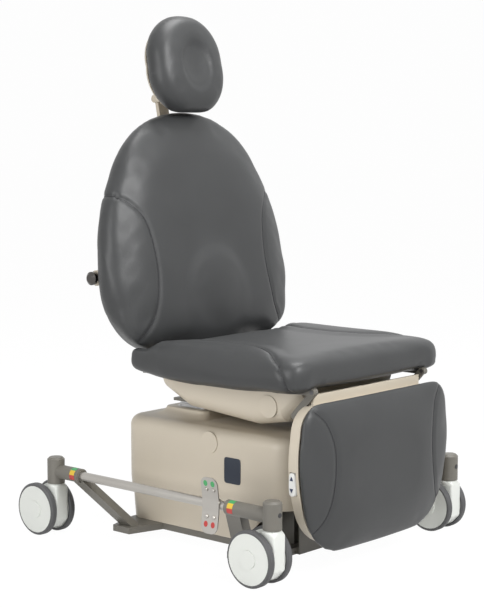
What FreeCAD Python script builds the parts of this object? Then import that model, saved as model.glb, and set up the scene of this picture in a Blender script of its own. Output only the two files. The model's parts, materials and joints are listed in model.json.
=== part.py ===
import FreeCAD, Part
import math
import os

import Sketcher
from FreeCAD import Placement, Rotation, Vector

# Powered procedure chair: a wheeled base with a telescopic lift column, a seat that tilts on the column,
# a reclining back with an adjustable headrest, and a leg section that swings up in front.
# The chair faces -Y, +Z is up and the origin lies on the floor, midway between front and rear.
# Left and right are the sitter's own, so right is -X.

# Driving sizes in millimetres and degrees: alias, value and meaning.
SIZES = (
    ("fit_clearance", 0.05, "running clearance of a pin in its bore"),
    ("slide_clearance", 0.3, "clearance between sliding or facing pieces"),
    ("leg_side_room", 71, "side tubes and caster stems outside the leg section"),
    ("caster_front_y", -431, "front caster stems"),
    ("caster_rear_y", 387, "rear caster stems"),
    ("caster_trail", 43, "wheel axle behind its stem"),
    ("wheel_radius", 75, "caster wheel over its tyre"),
    ("wheel_width", 21, "one wheel of a twin caster"),
    ("wheel_spread", 90, "twin wheels over their outer faces"),
    ("tyre_depth", 8, "tyre from tread to hub"),
    ("tyre_chamfer", 4, "bevel of the tread's shoulders"),
    ("hub_cap_radius", 24, "raised cap on the wheel face"),
    ("hub_cap_height", 2.5, "rise of that cap"),
    ("axle_radius", 8, "caster axle"),
    ("fork_width", 45, "caster body between its wheels"),
    ("fork_bottom", 22, "lowest point of the caster body"),
    ("fork_top", 152.5, "top of the caster neck"),
    ("neck_radius", 25, "caster neck"),
    ("neck_length", 9, "round neck above the wheels"),
    ("stem_radius", 11, "caster stem"),
    ("stem_depth", 40, "stem inside the caster body"),
    ("sleeve_radius", 25, "upright sleeve over each caster"),
    ("sleeve_height", 75, "that sleeve"),
    ("sleeve_round", 6, "bevel at the sleeve's top"),
    ("tube_radius", 20, "side tube of the base"),
    ("tube_axis_z", 187, "side tube and brake bar above the floor"),
    ("front_tube_length", 152, "side tube from the front stem"),
    ("rear_tube_length", 109, "side tube from the rear stem"),
    ("strut_width", 50, "strut from side tube to base plate, along the chair"),
    ("strut_depth", 31, "that strut, across the chair"),
    ("strut_foot_x", 295, "strut foot from the middle"),
    ("front_foot_y", -249, "front strut foot"),
    ("rear_foot_y", 188, "rear strut foot"),
    ("strut_setback", 25, "strut head from the open end of its tube"),
    ("bar_radius", 12.5, "brake bar"),
    ("bar_end_gap", 3, "brake bar end to sleeve"),
    ("pedal_y", -231, "middle of the brake pedal"),
    ("pedal_width", 58, "brake pedal along the bar"),
    ("pedal_height", 150, "brake pedal, tip to tip"),
    ("pedal_thickness", 3, "pedal plate"),
    ("pedal_kick", 8, "outward sweep of the pedal tips"),
    ("pedal_flat", 36, "upright middle of the pedal plate"),
    ("plate_bottom", 27, "base plate above the floor"),
    ("plate_thickness", 18, "base plate"),
    ("plate_half_width", 222, "base plate from the middle"),
    ("plate_front_y", -330, "front of the base plate"),
    ("plate_rear_y", 222, "rear of the base plate"),
    ("ear_reach", 34, "base plate ears past the strut feet"),
    ("ear_half_width", 32, "ear either side of a strut foot"),
    ("ear_root", 62, "ear root either side of a strut foot"),
    ("apron_top", 150, "upstand at the front of the base plate"),
    ("apron_thickness", 4, "that upstand"),
    ("cover_half_width", 235, "base cover"),
    ("cover_front_y", -345, "front of the base cover"),
    ("cover_rear_y", 276, "rear of the base cover"),
    ("cover_top", 345, "top of the base cover"),
    ("cover_shoulder", 20, "rounded shoulder of the base cover"),
    ("cover_tuck", 13, "draw-in at the cover's foot and shoulder"),
    ("cover_tuck_top", 150, "where the lower draw-in starts"),
    ("cover_corner", 60, "upright corners of the base cover"),
    ("cover_wall", 4, "wall of the covers"),
    ("apron_cut_length", 130, "slope of the cover's lower front edge"),
    ("collar_half_width", 150, "top of the collar round the lift column"),
    ("collar_flare", 34, "flare of the collar at its foot"),
    ("collar_height", 23, "collar above the base cover"),
    ("collar_rim", 22, "collar top around the column"),
    ("cap_radius", 30, "round cap on base cover and seat shroud"),
    ("cap_thickness", 5, "that cap"),
    ("base_cap_y", -67, "base cover cap"),
    ("base_cap_z", 306, "base cover cap"),
    ("column_y", 112, "middle of the lift column"),
    ("column_half_x", 125, "lift column, outer stage"),
    ("column_half_y", 60, "lift column, outer stage"),
    ("column_wall", 5, "wall of the column stages"),
    ("column_corner", 24, "corners of the column's outer stage"),
    ("stage_step", 15, "each stage stands this much above the one around it"),
    ("column_top", 388, "top of the inner stage"),
    ("mid_top", 376, "top of the middle stage"),
    ("screw_radius", 10, "lift spindle"),
    ("nut_radius", 18, "tube that carries the lift nut"),
    ("lift_tube_radius", 26, "tube that raises the inner stage"),
    ("lift_tube_top_gap", 40, "each spindle part ends below the stage's top"),
    ("lift_flange", 8, "flange that joins the nut tube to the middle stage"),
    ("gearbox_half_x", 40, "lift gearbox"),
    ("gearbox_height", 12, "lift gearbox"),
    ("lift_motor_radius", 38, "lift motor"),
    ("lift_motor_height", 130, "lift motor"),
    ("lift_motor_gap", 10, "lift motor in front of the column"),
    ("control_half_x", 150, "control box"),
    ("control_rear_y", -110, "control box"),
    ("control_length", 190, "control box"),
    ("control_height", 115, "control box"),
    ("control_bevel", 10, "control box edges"),
    ("head_plate", 8, "plate on the inner stage"),
    ("head_half_y", 40, "that plate, front and rear of the column's middle"),
    ("ear_thickness", 10, "ears that carry the tilt pivot"),
    ("ear_radius", 15, "round head of those ears"),
    ("tilt_axis_z", 480, "tilt pivot"),
    ("tilt_pin_radius", 8, "tilt pivot pins"),
    ("tilt_range", 15, "seat tilt, front up"),
    ("tilt_lever", 60, "tilt actuator's pivot below the tilt axis"),
    ("rail_inner_x", 150, "inner face of the seat rails"),
    ("rail_width", 30, "seat rails"),
    ("rail_bottom", 464, "seat rails"),
    ("rail_height", 32, "seat rails"),
    ("rail_front_y", -350, "front end of the seat rails"),
    ("rail_rear_y", 166, "rear end of the seat rails"),
    ("beam_width", 20, "beams across the seat rails"),
    ("pan_thickness", 5, "seat pan"),
    ("pan_half_width", 248, "seat pan"),
    ("pan_front_y", -352, "front of the seat pan"),
    ("pan_rear_y", 66, "rear of the seat pan"),
    ("leg_axis_y", -440, "leg section's hinge"),
    ("leg_axis_z", 488, "leg section's hinge"),
    ("leg_lug_x", 243, "inner face of the leg hinge lugs"),
    ("lug_thickness", 8, "hinge lugs and leg levers"),
    ("knuckle_radius", 10, "leg hinge knuckles"),
    ("hinge_pin_radius", 6, "hinge pins of back and leg section"),
    ("leg_range", 85, "leg section swing"),
    ("leg_lever", 95, "leg lever, hinge to cross rod"),
    ("back_axis_y", 150, "back hinge"),
    ("back_axis_z", 482, "back hinge"),
    ("back_range", 64, "back recline"),
    ("back_lever", 44, "back lever, hinge to its pin"),
    ("lever_pin_radius", 6, "pins that the actuators push"),
    ("eye_play", 2, "play of the tilt rod's eye on its pin"),
    ("slot_play", 3, "play of a crosshead's slot across its pin"),
    ("crosshead_wall", 5, "crosshead around its slot"),
    ("crosshead_thickness", 12, "crosshead"),
    ("rod_radius", 8, "actuator rods"),
    ("actuator_radius", 17, "actuator tubes"),
    ("motor_radius", 20, "actuator motors"),
    ("motor_length", 95, "actuator motors"),
    ("gear_half", 24, "actuator gearbox"),
    ("gear_length", 45, "actuator gearbox"),
    ("tail_length", 15, "actuator tail pin to gearbox"),
    ("tail_half", 12, "actuator tail, across"),
    ("clevis_thickness", 6, "clevis plates that hold an actuator"),
    ("clevis_radius", 13, "round end of the clevis plates"),
    ("actuator_spread", 95, "outer actuators from the middle"),
    ("rear_beam_y", -90, "beam that holds the leg and back actuators"),
    ("front_beam_y", -262, "beam that holds the tilt actuator"),
    ("leg_tube_end", -325, "mouth of the leg actuator"),
    ("back_tube_end", 62, "mouth of the back actuator"),
    ("tilt_tube_end", 40, "mouth of the tilt actuator"),
    ("rod_engagement", 45, "rod left inside its tube when drawn out"),
    ("shroud_half_width", 215, "shroud under the seat"),
    ("shroud_wall", 3, "wall of that shroud"),
    ("shroud_corner", 46, "rounded lower edges of the shroud"),
    ("shroud_rear_y", 131, "rear of the shroud"),
    ("shroud_rear_z", 427, "underside at the rear"),
    ("shroud_waist_y", 45, "behind this the underside rises"),
    ("shroud_waist_z", 386, "underside at the waist"),
    ("shroud_low_y", -203, "lowest part of the shroud"),
    ("shroud_low_z", 366, "underside at its lowest"),
    ("shroud_chin_y", -304, "before this the underside rises"),
    ("shroud_chin_z", 384, "underside at the chin"),
    ("shroud_nose_y", -363, "front of the shroud"),
    ("shroud_nose_z", 442, "underside at the front"),
    ("shroud_nose_tuck", 14, "the shroud narrows at its front"),
    ("shroud_cap_y", -264, "shroud cap"),
    ("shroud_cap_z", 426, "shroud cap"),
    ("seat_half_width", 330, "seat cushion"),
    ("seat_front_y", -451, "front of the seat cushion"),
    ("seat_rear_y", 80, "rear of the seat cushion"),
    ("seat_top", 578, "seat cushion at its edge"),
    ("seat_crown", 7, "rise in the middle of the seat cushion"),
    ("seat_edge", 38, "rounded upper edges of the seat cushion"),
    ("seat_hem", 18, "rounded lower edges of the seat cushion"),
    ("seat_corner", 48, "front corners of the seat cushion"),
    ("seat_skirt_rear", 472, "lower edge of the seat's side, rear"),
    ("seat_skirt_low", 474, "lower edge of the seat's side, lowest"),
    ("seat_skirt_low_y", -236, "place of that lowest edge"),
    ("seat_wing_rear_y", 168, "rear of the seat's side wings"),
    ("seat_wing_inner", 250, "inner face of the seat's side wings"),
    ("seat_wing_top", 528, "top of the seat's side wings"),
    ("seat_wing_rise", 20, "that top is higher at its outer edge by this"),
    ("seat_wing_tuck", 12, "the side wings draw in at their rear"),
    ("seat_skirt_front", 491, "lower edge of the seat's side, front"),
    ("back_foot_y", 86, "foot of the back's front plane"),
    ("back_foot_z", 515, "foot of the back's front plane"),
    ("back_lean", 11, "lean of the back from upright"),
    ("back_height", 717, "back along its lean"),
    ("back_half_width", 366, "back at its widest"),
    ("back_wide_height", 285, "height of the widest part"),
    ("back_shoulder_half", 292, "back at its shoulders"),
    ("back_shoulder_height", 545, "height of the shoulders"),
    ("back_crown_half", 150, "back near its top"),
    ("back_crown_drop", 30, "that place below the top"),
    ("back_crown_swell", 12, "bulge of the curve between shoulder and crown, across"),
    ("back_crown_lift", 14, "bulge of that curve, upwards"),
    ("back_foot_half", 225, "straight lower edge of the back"),
    ("back_foot_rise", 45, "lower edge of the back cushion"),
    ("back_thickness", 138, "back cushion at its foot"),
    ("back_top_thickness", 88, "back cushion at its top"),
    ("back_edge", 16, "drawn-in sides of the back cushion"),
    ("back_crown", 10, "crown of the back cushion"),
    ("lumbar_height", 235, "middle of the lumbar swell"),
    ("lumbar_radius", 140, "lumbar swell"),
    ("lumbar_rise", 13, "lumbar swell in front of the cushion"),
    ("back_shell_rear", 178, "rear face of the back shell behind the cushion's front"),
    ("back_shell_inset", 42, "shell inside the cushion's outline"),
    ("back_shell_draw", 40, "shell's rear face inside its rim"),
    ("back_shell_foot", 70, "shell's lower edge above the cushion's"),
    ("back_shell_slope", 54, "shell's rear face starts this much higher"),
    ("shell_wall", 4, "wall of the back, leg and headrest shells"),
    ("spine_gap", 2, "back frame's uprights behind the cushion"),
    ("back_shell_lean", 60, "the shell's rear face comes forward by this at its top"),
    ("spine_width", 18, "back frame's uprights, front to rear"),
    ("spine_height", 400, "back frame's uprights"),
    ("cross_tube_radius", 12, "tube between the uprights"),
    ("cross_tube_rise", 80, "that tube above the foot of the back"),
    ("back_plate_foot", 130, "mounting plate of the back frame"),
    ("back_plate_height", 270, "that plate"),
    ("back_plate_thickness", 5, "that plate"),
    ("stud_height", 262, "arm stud along the back"),
    ("stud_depth", 146, "arm stud behind the cushion's front"),
    ("stud_stem_radius", 9, "arm stud's stem"),
    ("stud_head_radius", 19, "arm stud's head"),
    ("stud_length", 26, "arm stud in front of its boss"),
    ("stud_boss_radius", 22, "boss that carries the arm stud"),
    ("stud_boss_x", 330, "face of that boss"),
    ("stud_boss_length", 60, "that boss"),
    ("head_foot_depth", -48.7, "headrest's front plane behind the back's"),
    ("head_foot_rise", -10.3, "headrest's foot above the top of the back"),
    ("head_height", 283, "headrest cushion"),
    ("head_half_width", 134, "headrest cushion at its widest"),
    ("head_wide_height", 140, "height of its widest part"),
    ("head_low_half", 56, "headrest's lower edge"),
    ("head_thickness", 84, "headrest cushion"),
    ("head_edge", 15, "drawn-in sides of the headrest"),
    ("dish_half_width", 58, "oval dish in the headrest"),
    ("dish_half_height", 80, "oval dish in the headrest"),
    ("dish_depth", 11, "oval dish in the headrest"),
    ("dish_height", 148, "middle of the dish"),
    ("head_shell_depth", 24, "headrest shell"),
    ("head_shell_draw", 46, "rear of the headrest shell inside its rim"),
    ("head_axis_depth", 162, "headrest hinge behind its front plane"),
    ("head_axis_height", 64, "headrest hinge"),
    ("head_travel", 100, "headrest slide"),
    ("head_knuckle_radius", 12, "headrest hinge"),
    ("head_pin_radius", 5, "headrest hinge"),
    ("head_lug_thickness", 8, "headrest hinge lugs"),
    ("bar_half_width", 20, "headrest bar"),
    ("bar_thickness", 12, "headrest bar"),
    ("bar_grip", 43, "headrest bar left in its socket when drawn out"),
    ("socket_wall", 6, "socket of the headrest bar"),
    ("socket_length", 140, "socket of the headrest bar"),
    ("socket_drop", 5, "mouth of that socket below the top of the back"),
    ("leg_front_y", -505, "front of the leg cushion"),
    ("leg_thickness", 55, "leg cushion"),
    ("leg_half_width", 322, "leg cushion at its widest"),
    ("leg_wide_z", 305, "height of its widest part"),
    ("leg_top", 460, "top of the leg cushion"),
    ("leg_bottom", 57, "bottom of the leg cushion"),
    ("leg_bottom_draw", 164, "end of the lower edge inside the widest part"),
    ("leg_turn_draw", 61, "middle of the lower corner inside the widest part"),
    ("leg_turn_rise", 46, "lower corner at its middle"),
    ("leg_knee_draw", 15, "side above the lower corner inside the widest part"),
    ("leg_knee_rise", 143, "side above the lower corner"),
    ("leg_corner", 66, "upper corners of the leg cushion"),
    ("leg_side_draw", 8, "side below the upper corner inside the widest part"),
    ("leg_bottom_bow", 4, "rise of the lower edge at its ends"),
    ("leg_edge", 12, "drawn-in sides of the leg cushion"),
    ("leg_crown", 5, "crown of the leg cushion"),
    ("leg_shell_depth", 46, "shell behind the leg cushion"),
    ("leg_shell_inset", 7, "shell inside the cushion's outline"),
    ("leg_shell_round", 12, "rounded rear edge of the leg shell"),
    ("strip_half_width", 233, "strip at the top of the leg shell"),
    ("strip_top", 478, "strip at the top of the leg shell"),
    ("strip_thickness", 8, "that strip"),
    ("strip_depth", 80, "strip's rear face behind the cushion's front"),
    ("notch_half_width", 20, "notch in the leg shell for the crosshead"),
    ("notch_foot", 390, "foot of that notch"),
    ("flange_width", 14, "uprights of the leg frame"),
    ("flange_foot", 225, "foot of those uprights"),
    ("leg_plate_top", 330, "plate of the leg frame"),
    ("leg_plate_height", 80, "plate of the leg frame"),
    ("leg_plate_thickness", 6, "plate of the leg frame"),
    ("switch_z", 255, "switch on the leg shell"),
    ("switch_half_width", 10, "switch plate"),
    ("switch_half_height", 31, "switch plate"),
    ("switch_thickness", 12, "switch plate"),
    ("switch_proud", 2, "switch plate in front of the shell"),
    ("switch_setback", 20, "switch plate behind the cushion"),
    ("button_size", 11, "triangular switch buttons"),
    ("button_spread", 32, "distance between the two buttons"),
    ("button_depth", 6, "switch buttons"),
    ("button_proud", 1.2, "switch buttons in front of their plate"),
    ("button_travel", 0.9, "press of a switch button"),
)

doc = FreeCAD.newDocument("procedure_chair")
sheet = doc.addObject("Spreadsheet::Sheet", "Sizes")
for row, (alias, value, meaning) in enumerate(SIZES, 1):
    sheet.set(f"A{row}", alias)
    sheet.set(f"B{row}", str(value))
    sheet.set(f"C{row}", meaning)
    sheet.setAlias(f"B{row}", alias)
doc.recompute()


class Size:
    """A number together with the spreadsheet expression that gives it."""

    def __init__(self, number, text):
        self.number = number
        self.text = text

    def __add__(self, other):
        other = as_size(other)
        return Size(self.number + other.number, f"({self.text} + {other.text})")

    def __sub__(self, other):
        other = as_size(other)
        return Size(self.number - other.number, f"({self.text} - {other.text})")

    def __mul__(self, other):
        other = as_size(other)
        return Size(self.number * other.number, f"({self.text} * {other.text})")

    def __truediv__(self, other):
        other = as_size(other)
        return Size(self.number / other.number, f"({self.text} / {other.text})")

    def __radd__(self, other):
        return as_size(other) + self

    def __rsub__(self, other):
        return as_size(other) - self

    def __rmul__(self, other):
        return as_size(other) * self

    def __neg__(self):
        return 0 - self

    def __float__(self):
        return float(self.number)


def as_size(value):
    if isinstance(value, Size):
        return value
    return Size(float(value), f"({float(value)})")


def sine(angle):
    return Size(math.sin(math.radians(angle.number)), f"sin({angle.text})")


def cosine(angle):
    return Size(math.cos(math.radians(angle.number)), f"cos({angle.text})")


class Sizes:
    """The spreadsheet's sizes by name."""

    def __getattr__(self, alias):
        return Size(float(sheet.get(alias)), f"Sizes.{alias}")


S = Sizes()
nodes = {}


def bind(feature, name, size):
    feature.setExpression(name, as_size(size).text)


def place(feature, x=0, y=0, z=0):
    for axis, size in zip("xyz", (x, y, z)):
        bind(feature, f"Placement.Base.{axis}", size)
    return feature


def node(label, feature):
    feature.Label = label
    nodes[label] = feature
    return feature


# Solids from primitives

TURNS = {
    "x": Rotation(Vector(0, 1, 0), 90),
    "y": Rotation(Vector(1, 0, 0), -90),
    "z": Rotation(),
}


def box(x, y, z):
    """A block between pairs of faces."""
    solid = doc.addObject("Part::Box", "Block")
    for name, (low, high) in zip(("Length", "Width", "Height"), (x, y, z)):
        bind(solid, name, high - as_size(low))
    return place(solid, x[0], y[0], z[0])


def rod(axis, start, end, across, radius):
    """A cylinder along an axis; across holds its two other coordinates in the order x, y, z."""
    solid = doc.addObject("Part::Cylinder", "Rod")
    solid.Placement = Placement(Vector(), TURNS[axis])
    bind(solid, "Radius", radius)
    bind(solid, "Height", end - as_size(start))
    base = list(across)
    base.insert("xyz".index(axis), start)
    return place(solid, *base)


def fuse(*solids):
    joined = doc.addObject("Part::MultiFuse", "Union")
    joined.Shapes = list(solids)
    return joined


def cut(base, *tools):
    result = doc.addObject("Part::Cut", "Cut")
    result.Base = base
    result.Tool = tools[0] if len(tools) == 1 else fuse(*tools)
    return result


def group(*solids):
    gathered = doc.addObject("Part::Compound", "Group")
    gathered.Links = list(solids)
    return gathered


# Solids from sketches

PLANES = {"x": "YZ_Plane", "y": "XZ_Plane", "z": "XY_Plane"}


def new_sketch(body, axis, place_along):
    """A sketch on the plane square to an axis; the plane square to y looks along -y."""
    sketch = body.newObject("Sketcher::SketchObject", "Sketch")
    plane = [item for item in body.Origin.OriginFeatures if item.Role == PLANES[axis]][0]
    sketch.AttachmentSupport = [(plane, "")]
    sketch.MapMode = "FlatFace"
    along = as_size(place_along)
    bind(sketch, "AttachmentOffset.Base.z", -along if axis == "y" else along)
    return sketch


def pin_point(sketch, curve, end, u, v):
    for kind, size in (("DistanceX", as_size(u)), ("DistanceY", as_size(v))):
        index = sketch.addConstraint(Sketcher.Constraint(kind, -1, 1, curve, end, size.number))
        sketch.setExpression(f"Constraints[{index}]", size.text)


def polygon(sketch, points):
    corners = [Vector(float(u), float(v), 0) for u, v in points]
    count = len(points)
    for index in range(count):
        sketch.addGeometry(Part.LineSegment(corners[index], corners[(index + 1) % count]))
    for index, (u, v) in enumerate(points):
        following = (index + 1) % count
        sketch.addConstraint(Sketcher.Constraint("Coincident", index, 2, following, 1))
        pin_point(sketch, index, 1, u, v)


def rounded_rectangle(sketch, u, v, radius):
    """Four sides and four tangent corner arcs."""
    (left, right), (low, high) = u, v
    r = float(radius)
    l, rt, b, t = float(left), float(right), float(low), float(high)
    sides = (
        (Vector(l + r, b, 0), Vector(rt - r, b, 0)),
        (Vector(rt, b + r, 0), Vector(rt, t - r, 0)),
        (Vector(rt - r, t, 0), Vector(l + r, t, 0)),
        (Vector(l, t - r, 0), Vector(l, b + r, 0)),
    )
    centres = (Vector(rt - r, b + r, 0), Vector(rt - r, t - r, 0), Vector(l + r, t - r, 0),
               Vector(l + r, b + r, 0))
    for index, (start, end) in enumerate(sides):
        sketch.addGeometry(Part.LineSegment(start, end))
        circle = Part.Circle(centres[index], Vector(0, 0, 1), r)
        turn = math.pi / 2
        sketch.addGeometry(Part.ArcOfCircle(circle, (index - 1) * turn, index * turn))
    for index in range(4):
        line, arc, following = 2 * index, 2 * index + 1, (2 * index + 2) % 8
        sketch.addConstraint(Sketcher.Constraint("Tangent", line, 2, arc, 1))
        sketch.addConstraint(Sketcher.Constraint("Tangent", arc, 2, following, 1))
        direction = "Horizontal" if index % 2 == 0 else "Vertical"
        sketch.addConstraint(Sketcher.Constraint(direction, line))
        limit = sketch.addConstraint(Sketcher.Constraint("Radius", arc, r))
        sketch.setExpression(f"Constraints[{limit}]", as_size(radius).text)
    for curve, kind, size in ((0, "DistanceY", low), (2, "DistanceX", right), (4, "DistanceY", high),
                              (6, "DistanceX", left)):
        limit = sketch.addConstraint(Sketcher.Constraint(kind, -1, 1, curve, 1, float(size)))
        sketch.setExpression(f"Constraints[{limit}]", as_size(size).text)


def prism(axis, span, points):
    """A polygon swept along an axis from the first to the second place in span."""
    body = doc.addObject("PartDesign::Body", "Prism")
    low, high = span
    sketch = new_sketch(body, axis, high if axis == "y" else low)
    polygon(sketch, points)
    pad = body.newObject("PartDesign::Pad", "Pad")
    pad.Profile = sketch
    bind(pad, "Length", as_size(high) - low)
    return body


def turned(profile):
    """A solid of revolution about its own Z axis from a profile of radii and heights."""
    body = doc.addObject("PartDesign::Body", "Turned")
    sketch = new_sketch(body, "y", 0)
    polygon(sketch, profile)
    revolution = body.newObject("PartDesign::Revolution", "Revolution")
    revolution.Profile = sketch
    revolution.ReferenceAxis = (sketch, ["V_Axis"])
    revolution.Angle = 360
    return body


def lofted(sections):
    """A ruled loft through rounded rectangles, each given as height, x limits, y limits and corner radius."""
    body = doc.addObject("PartDesign::Body", "Lofted")
    sketches = []
    for height, x, y, radius in sections:
        sketch = new_sketch(body, "z", height)
        rounded_rectangle(sketch, x, y, radius)
        sketches.append(sketch)
    loft = body.newObject("PartDesign::AdditiveLoft", "Loft")
    loft.Profile = sketches[0]
    loft.Sections = sketches[1:]
    loft.Ruled = True
    return body


def along_x(body, x, y, z):
    body.Placement = Placement(Vector(), TURNS["x"])
    return place(body, x, y, z)


# Solids from wires of lines and arcs

def line(start, end):
    return Part.makeLine(start, end)


def arc(start, through, end):
    return Part.Arc(start, through, end).toShape()


def through_sections(wires, ruled=True):
    return Part.makeLoft(wires, True, ruled)


def shape_feature(shape):
    feature = doc.addObject("Part::Feature", "Moulded")
    feature.Shape = shape
    return feature


def mirrored_wire(half, point):
    """A closed outline from its right half, given from the foot up as (kind, places).

    Each place is a half width and a height; point turns a place into a vector."""
    edges = []
    last = half[0]
    for step in half[1:]:
        places = [point(*spot) for spot in ([last] + list(step))]
        edges.append(line(*places) if len(places) == 2 else arc(*places))
        last = step[-1]
    left = []
    for edge in reversed(edges):
        left.append(edge.mirror(Vector(), Vector(1, 0, 0)))
    return Part.Wire(Part.__sortEdges__(edges + left))


# Base on casters

HALF_TRACK = S.leg_half_width + S.leg_side_room
PLATE_TOP = S.plate_bottom + S.plate_thickness
SLEEVE_BOTTOM = S.fork_top + S.slide_clearance
SIDES = (("right", -1), ("left", 1))
ENDS = (("front", S.caster_front_y, 1), ("rear", S.caster_rear_y, -1))


def make_caster(name, x, y):
    """Fork, twin wheels on their axle, and the two tyres of one caster."""
    half = S.fork_width / 2
    axle_y = y + S.caster_trail
    neck_foot = S.fork_top - S.neck_length
    side = prism("x", (x - half, x + half), (
        (y - S.neck_radius, neck_foot), (y - S.neck_radius, S.fork_bottom + S.neck_radius),
        (y, S.fork_bottom), (axle_y, S.fork_bottom),
        (axle_y + S.neck_radius, S.wheel_radius), (y + S.neck_radius, neck_foot)))
    neck = rod("z", neck_foot, S.fork_top, (x, y), S.neck_radius)
    stem_bore = rod("z", S.fork_top - S.stem_depth, S.fork_top, (x, y), S.stem_radius + S.fit_clearance)
    axle_bore = rod("x", x - half, x + half, (axle_y, S.wheel_radius), S.axle_radius + S.fit_clearance)
    node(f"caster_fork_{name}", cut(fuse(side, neck), stem_bore, axle_bore))

    outer = S.wheel_spread / 2
    inner = outer - S.wheel_width
    hub = S.wheel_radius - S.tyre_depth
    cap = outer + S.hub_cap_height
    wheels = turned((
        (0, -cap), (S.hub_cap_radius, -cap), (S.hub_cap_radius, -outer), (hub, -outer), (hub, -inner),
        (S.axle_radius, -inner), (S.axle_radius, inner), (hub, inner), (hub, outer),
        (S.hub_cap_radius, outer), (S.hub_cap_radius, cap), (0, cap)))
    node(f"caster_wheels_{name}", along_x(wheels, x, axle_y, S.wheel_radius))

    tyres = []
    for low, high in ((-outer, -inner), (inner, outer)):
        shoulder = S.wheel_radius - S.tyre_chamfer
        ring = turned((
            (hub, low), (shoulder, low), (S.wheel_radius, low + S.tyre_chamfer),
            (S.wheel_radius, high - S.tyre_chamfer), (shoulder, high), (hub, high)))
        tyres.append(along_x(ring, x, axle_y, S.wheel_radius))
    node(f"caster_tyres_{name}", group(*tyres))


def make_caster_leg(name, x, y, inward, side):
    """Sleeve with the caster's stem, side tube and the strut down to the base plate."""
    top = SLEEVE_BOTTOM + S.sleeve_height
    sleeve = place(turned((
        (0, SLEEVE_BOTTOM), (S.sleeve_radius, SLEEVE_BOTTOM), (S.sleeve_radius, top - S.sleeve_round),
        (S.sleeve_radius - S.sleeve_round, top), (0, top))), x, y, 0)
    stem = rod("z", S.fork_top - S.stem_depth + S.slide_clearance, SLEEVE_BOTTOM + 1, (x, y), S.stem_radius)
    length = S.front_tube_length if inward > 0 else S.rear_tube_length
    foot_y = S.front_foot_y if inward > 0 else S.rear_foot_y
    mouth = y + length * inward
    low, high = (y, mouth) if inward > 0 else (mouth, y)
    tube = rod("y", low, high, (x, S.tube_axis_z), S.tube_radius)
    head_y = mouth - S.strut_setback * inward
    wide, deep = S.strut_width / 2, S.strut_depth / 2
    body = doc.addObject("PartDesign::Body", "Strut")
    ends = []
    for height, middle_x, middle_y in ((PLATE_TOP, S.strut_foot_x * side, foot_y),
                                       (S.tube_axis_z, x, head_y)):
        sketch = new_sketch(body, "z", height)
        polygon(sketch, (
            (middle_x - deep, middle_y - wide), (middle_x + deep, middle_y - wide),
            (middle_x + deep, middle_y + wide), (middle_x - deep, middle_y + wide)))
        ends.append(sketch)
    strut = body.newObject("PartDesign::AdditiveLoft", "Loft")
    strut.Profile = ends[0]
    strut.Sections = ends[1:]
    strut.Ruled = True
    root = y + S.sleeve_radius * inward
    past = mouth + S.strut_width * inward
    low, high = (root, past) if inward > 0 else (past, root)
    bore = rod("y", low, high, (x, S.tube_axis_z), S.bar_radius + S.fit_clearance)
    node(f"caster_leg_{name}", cut(fuse(sleeve, stem, tube, body), bore))


def make_brake(name, x, side):
    """Brake bar between front and rear tubes, with the pedal clamped on it."""
    start = S.caster_front_y + S.sleeve_radius + S.bar_end_gap
    end = S.caster_rear_y - S.sleeve_radius - S.bar_end_gap
    node(f"brake_bar_{name}", rod("y", start, end, (x, S.tube_axis_z), S.bar_radius))

    reach = S.pedal_height / 2
    flat = S.pedal_flat / 2
    inner = S.bar_radius
    outer = inner + S.pedal_thickness
    kick = S.pedal_kick

    def spot(out, rise):
        return (x + out * side, S.tube_axis_z + rise)

    profile = (spot(inner, flat), spot(inner + kick, reach), spot(outer + kick, reach), spot(outer, flat),
               spot(outer, -flat), spot(outer + kick, -reach), spot(inner + kick, -reach),
               spot(inner, -flat))
    half = S.pedal_width / 2
    plate = prism("y", (S.pedal_y - half, S.pedal_y + half), profile)
    clamp = rod("y", S.pedal_y - half / 2, S.pedal_y + half / 2, (x, S.tube_axis_z), outer)
    bore = rod("y", S.pedal_y - half, S.pedal_y + half, (x, S.tube_axis_z), S.bar_radius)
    node(f"brake_pedal_{name}", cut(fuse(plate, clamp), bore))


for side_name, side in SIDES:
    for end_name, stem_y, inward in ENDS:
        corner_name = f"{end_name}_{side_name}"
        make_caster(corner_name, HALF_TRACK * side, stem_y)
        make_caster_leg(corner_name, HALF_TRACK * side, stem_y, inward, side)
    make_brake(side_name, HALF_TRACK * side, side)


def make_base_plate():
    tip = S.strut_foot_x + S.ear_reach
    edge = S.plate_half_width

    def ear(foot_y, side):
        """Ear outline from rear to front."""
        return ((edge * side, foot_y + S.ear_root * 0.5), (tip * side, foot_y + S.ear_half_width),
                (tip * side, foot_y - S.ear_half_width), (edge * side, foot_y - S.ear_root))

    left = ((edge, S.plate_rear_y + S.ear_root * 0.5),) + ear(S.rear_foot_y, 1)[1:] + ear(S.front_foot_y, 1)
    left = left + ((edge, S.plate_front_y),)
    outline = left + tuple((-u, v) for u, v in reversed(left))
    plate = prism("z", (S.plate_bottom, PLATE_TOP), outline)
    front = S.cover_front_y + S.cover_wall + S.slide_clearance
    apron_half = S.cover_half_width - S.cover_corner
    apron = box((-apron_half, apron_half), (front, front + S.apron_thickness),
                (S.plate_bottom, S.apron_top))
    ledge = box((-apron_half, apron_half), (front, S.plate_front_y + 1), (S.plate_bottom, PLATE_TOP))
    node("base_plate", fuse(plate, apron, ledge))


def cover_sections(wall, foot, top):
    """Sections of the base cover, drawn in by a wall."""
    tuck = S.cover_tuck
    rows = []
    for height, inset in ((foot, tuck), (S.cover_tuck_top, 0),
                          (S.cover_top - S.cover_shoulder - wall, 0), (top, tuck)):
        inset = wall + inset
        rows.append((height, (-S.cover_half_width + inset, S.cover_half_width - inset),
                     (S.cover_front_y + inset, S.cover_rear_y - inset), S.cover_corner - inset))
    return rows


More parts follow.
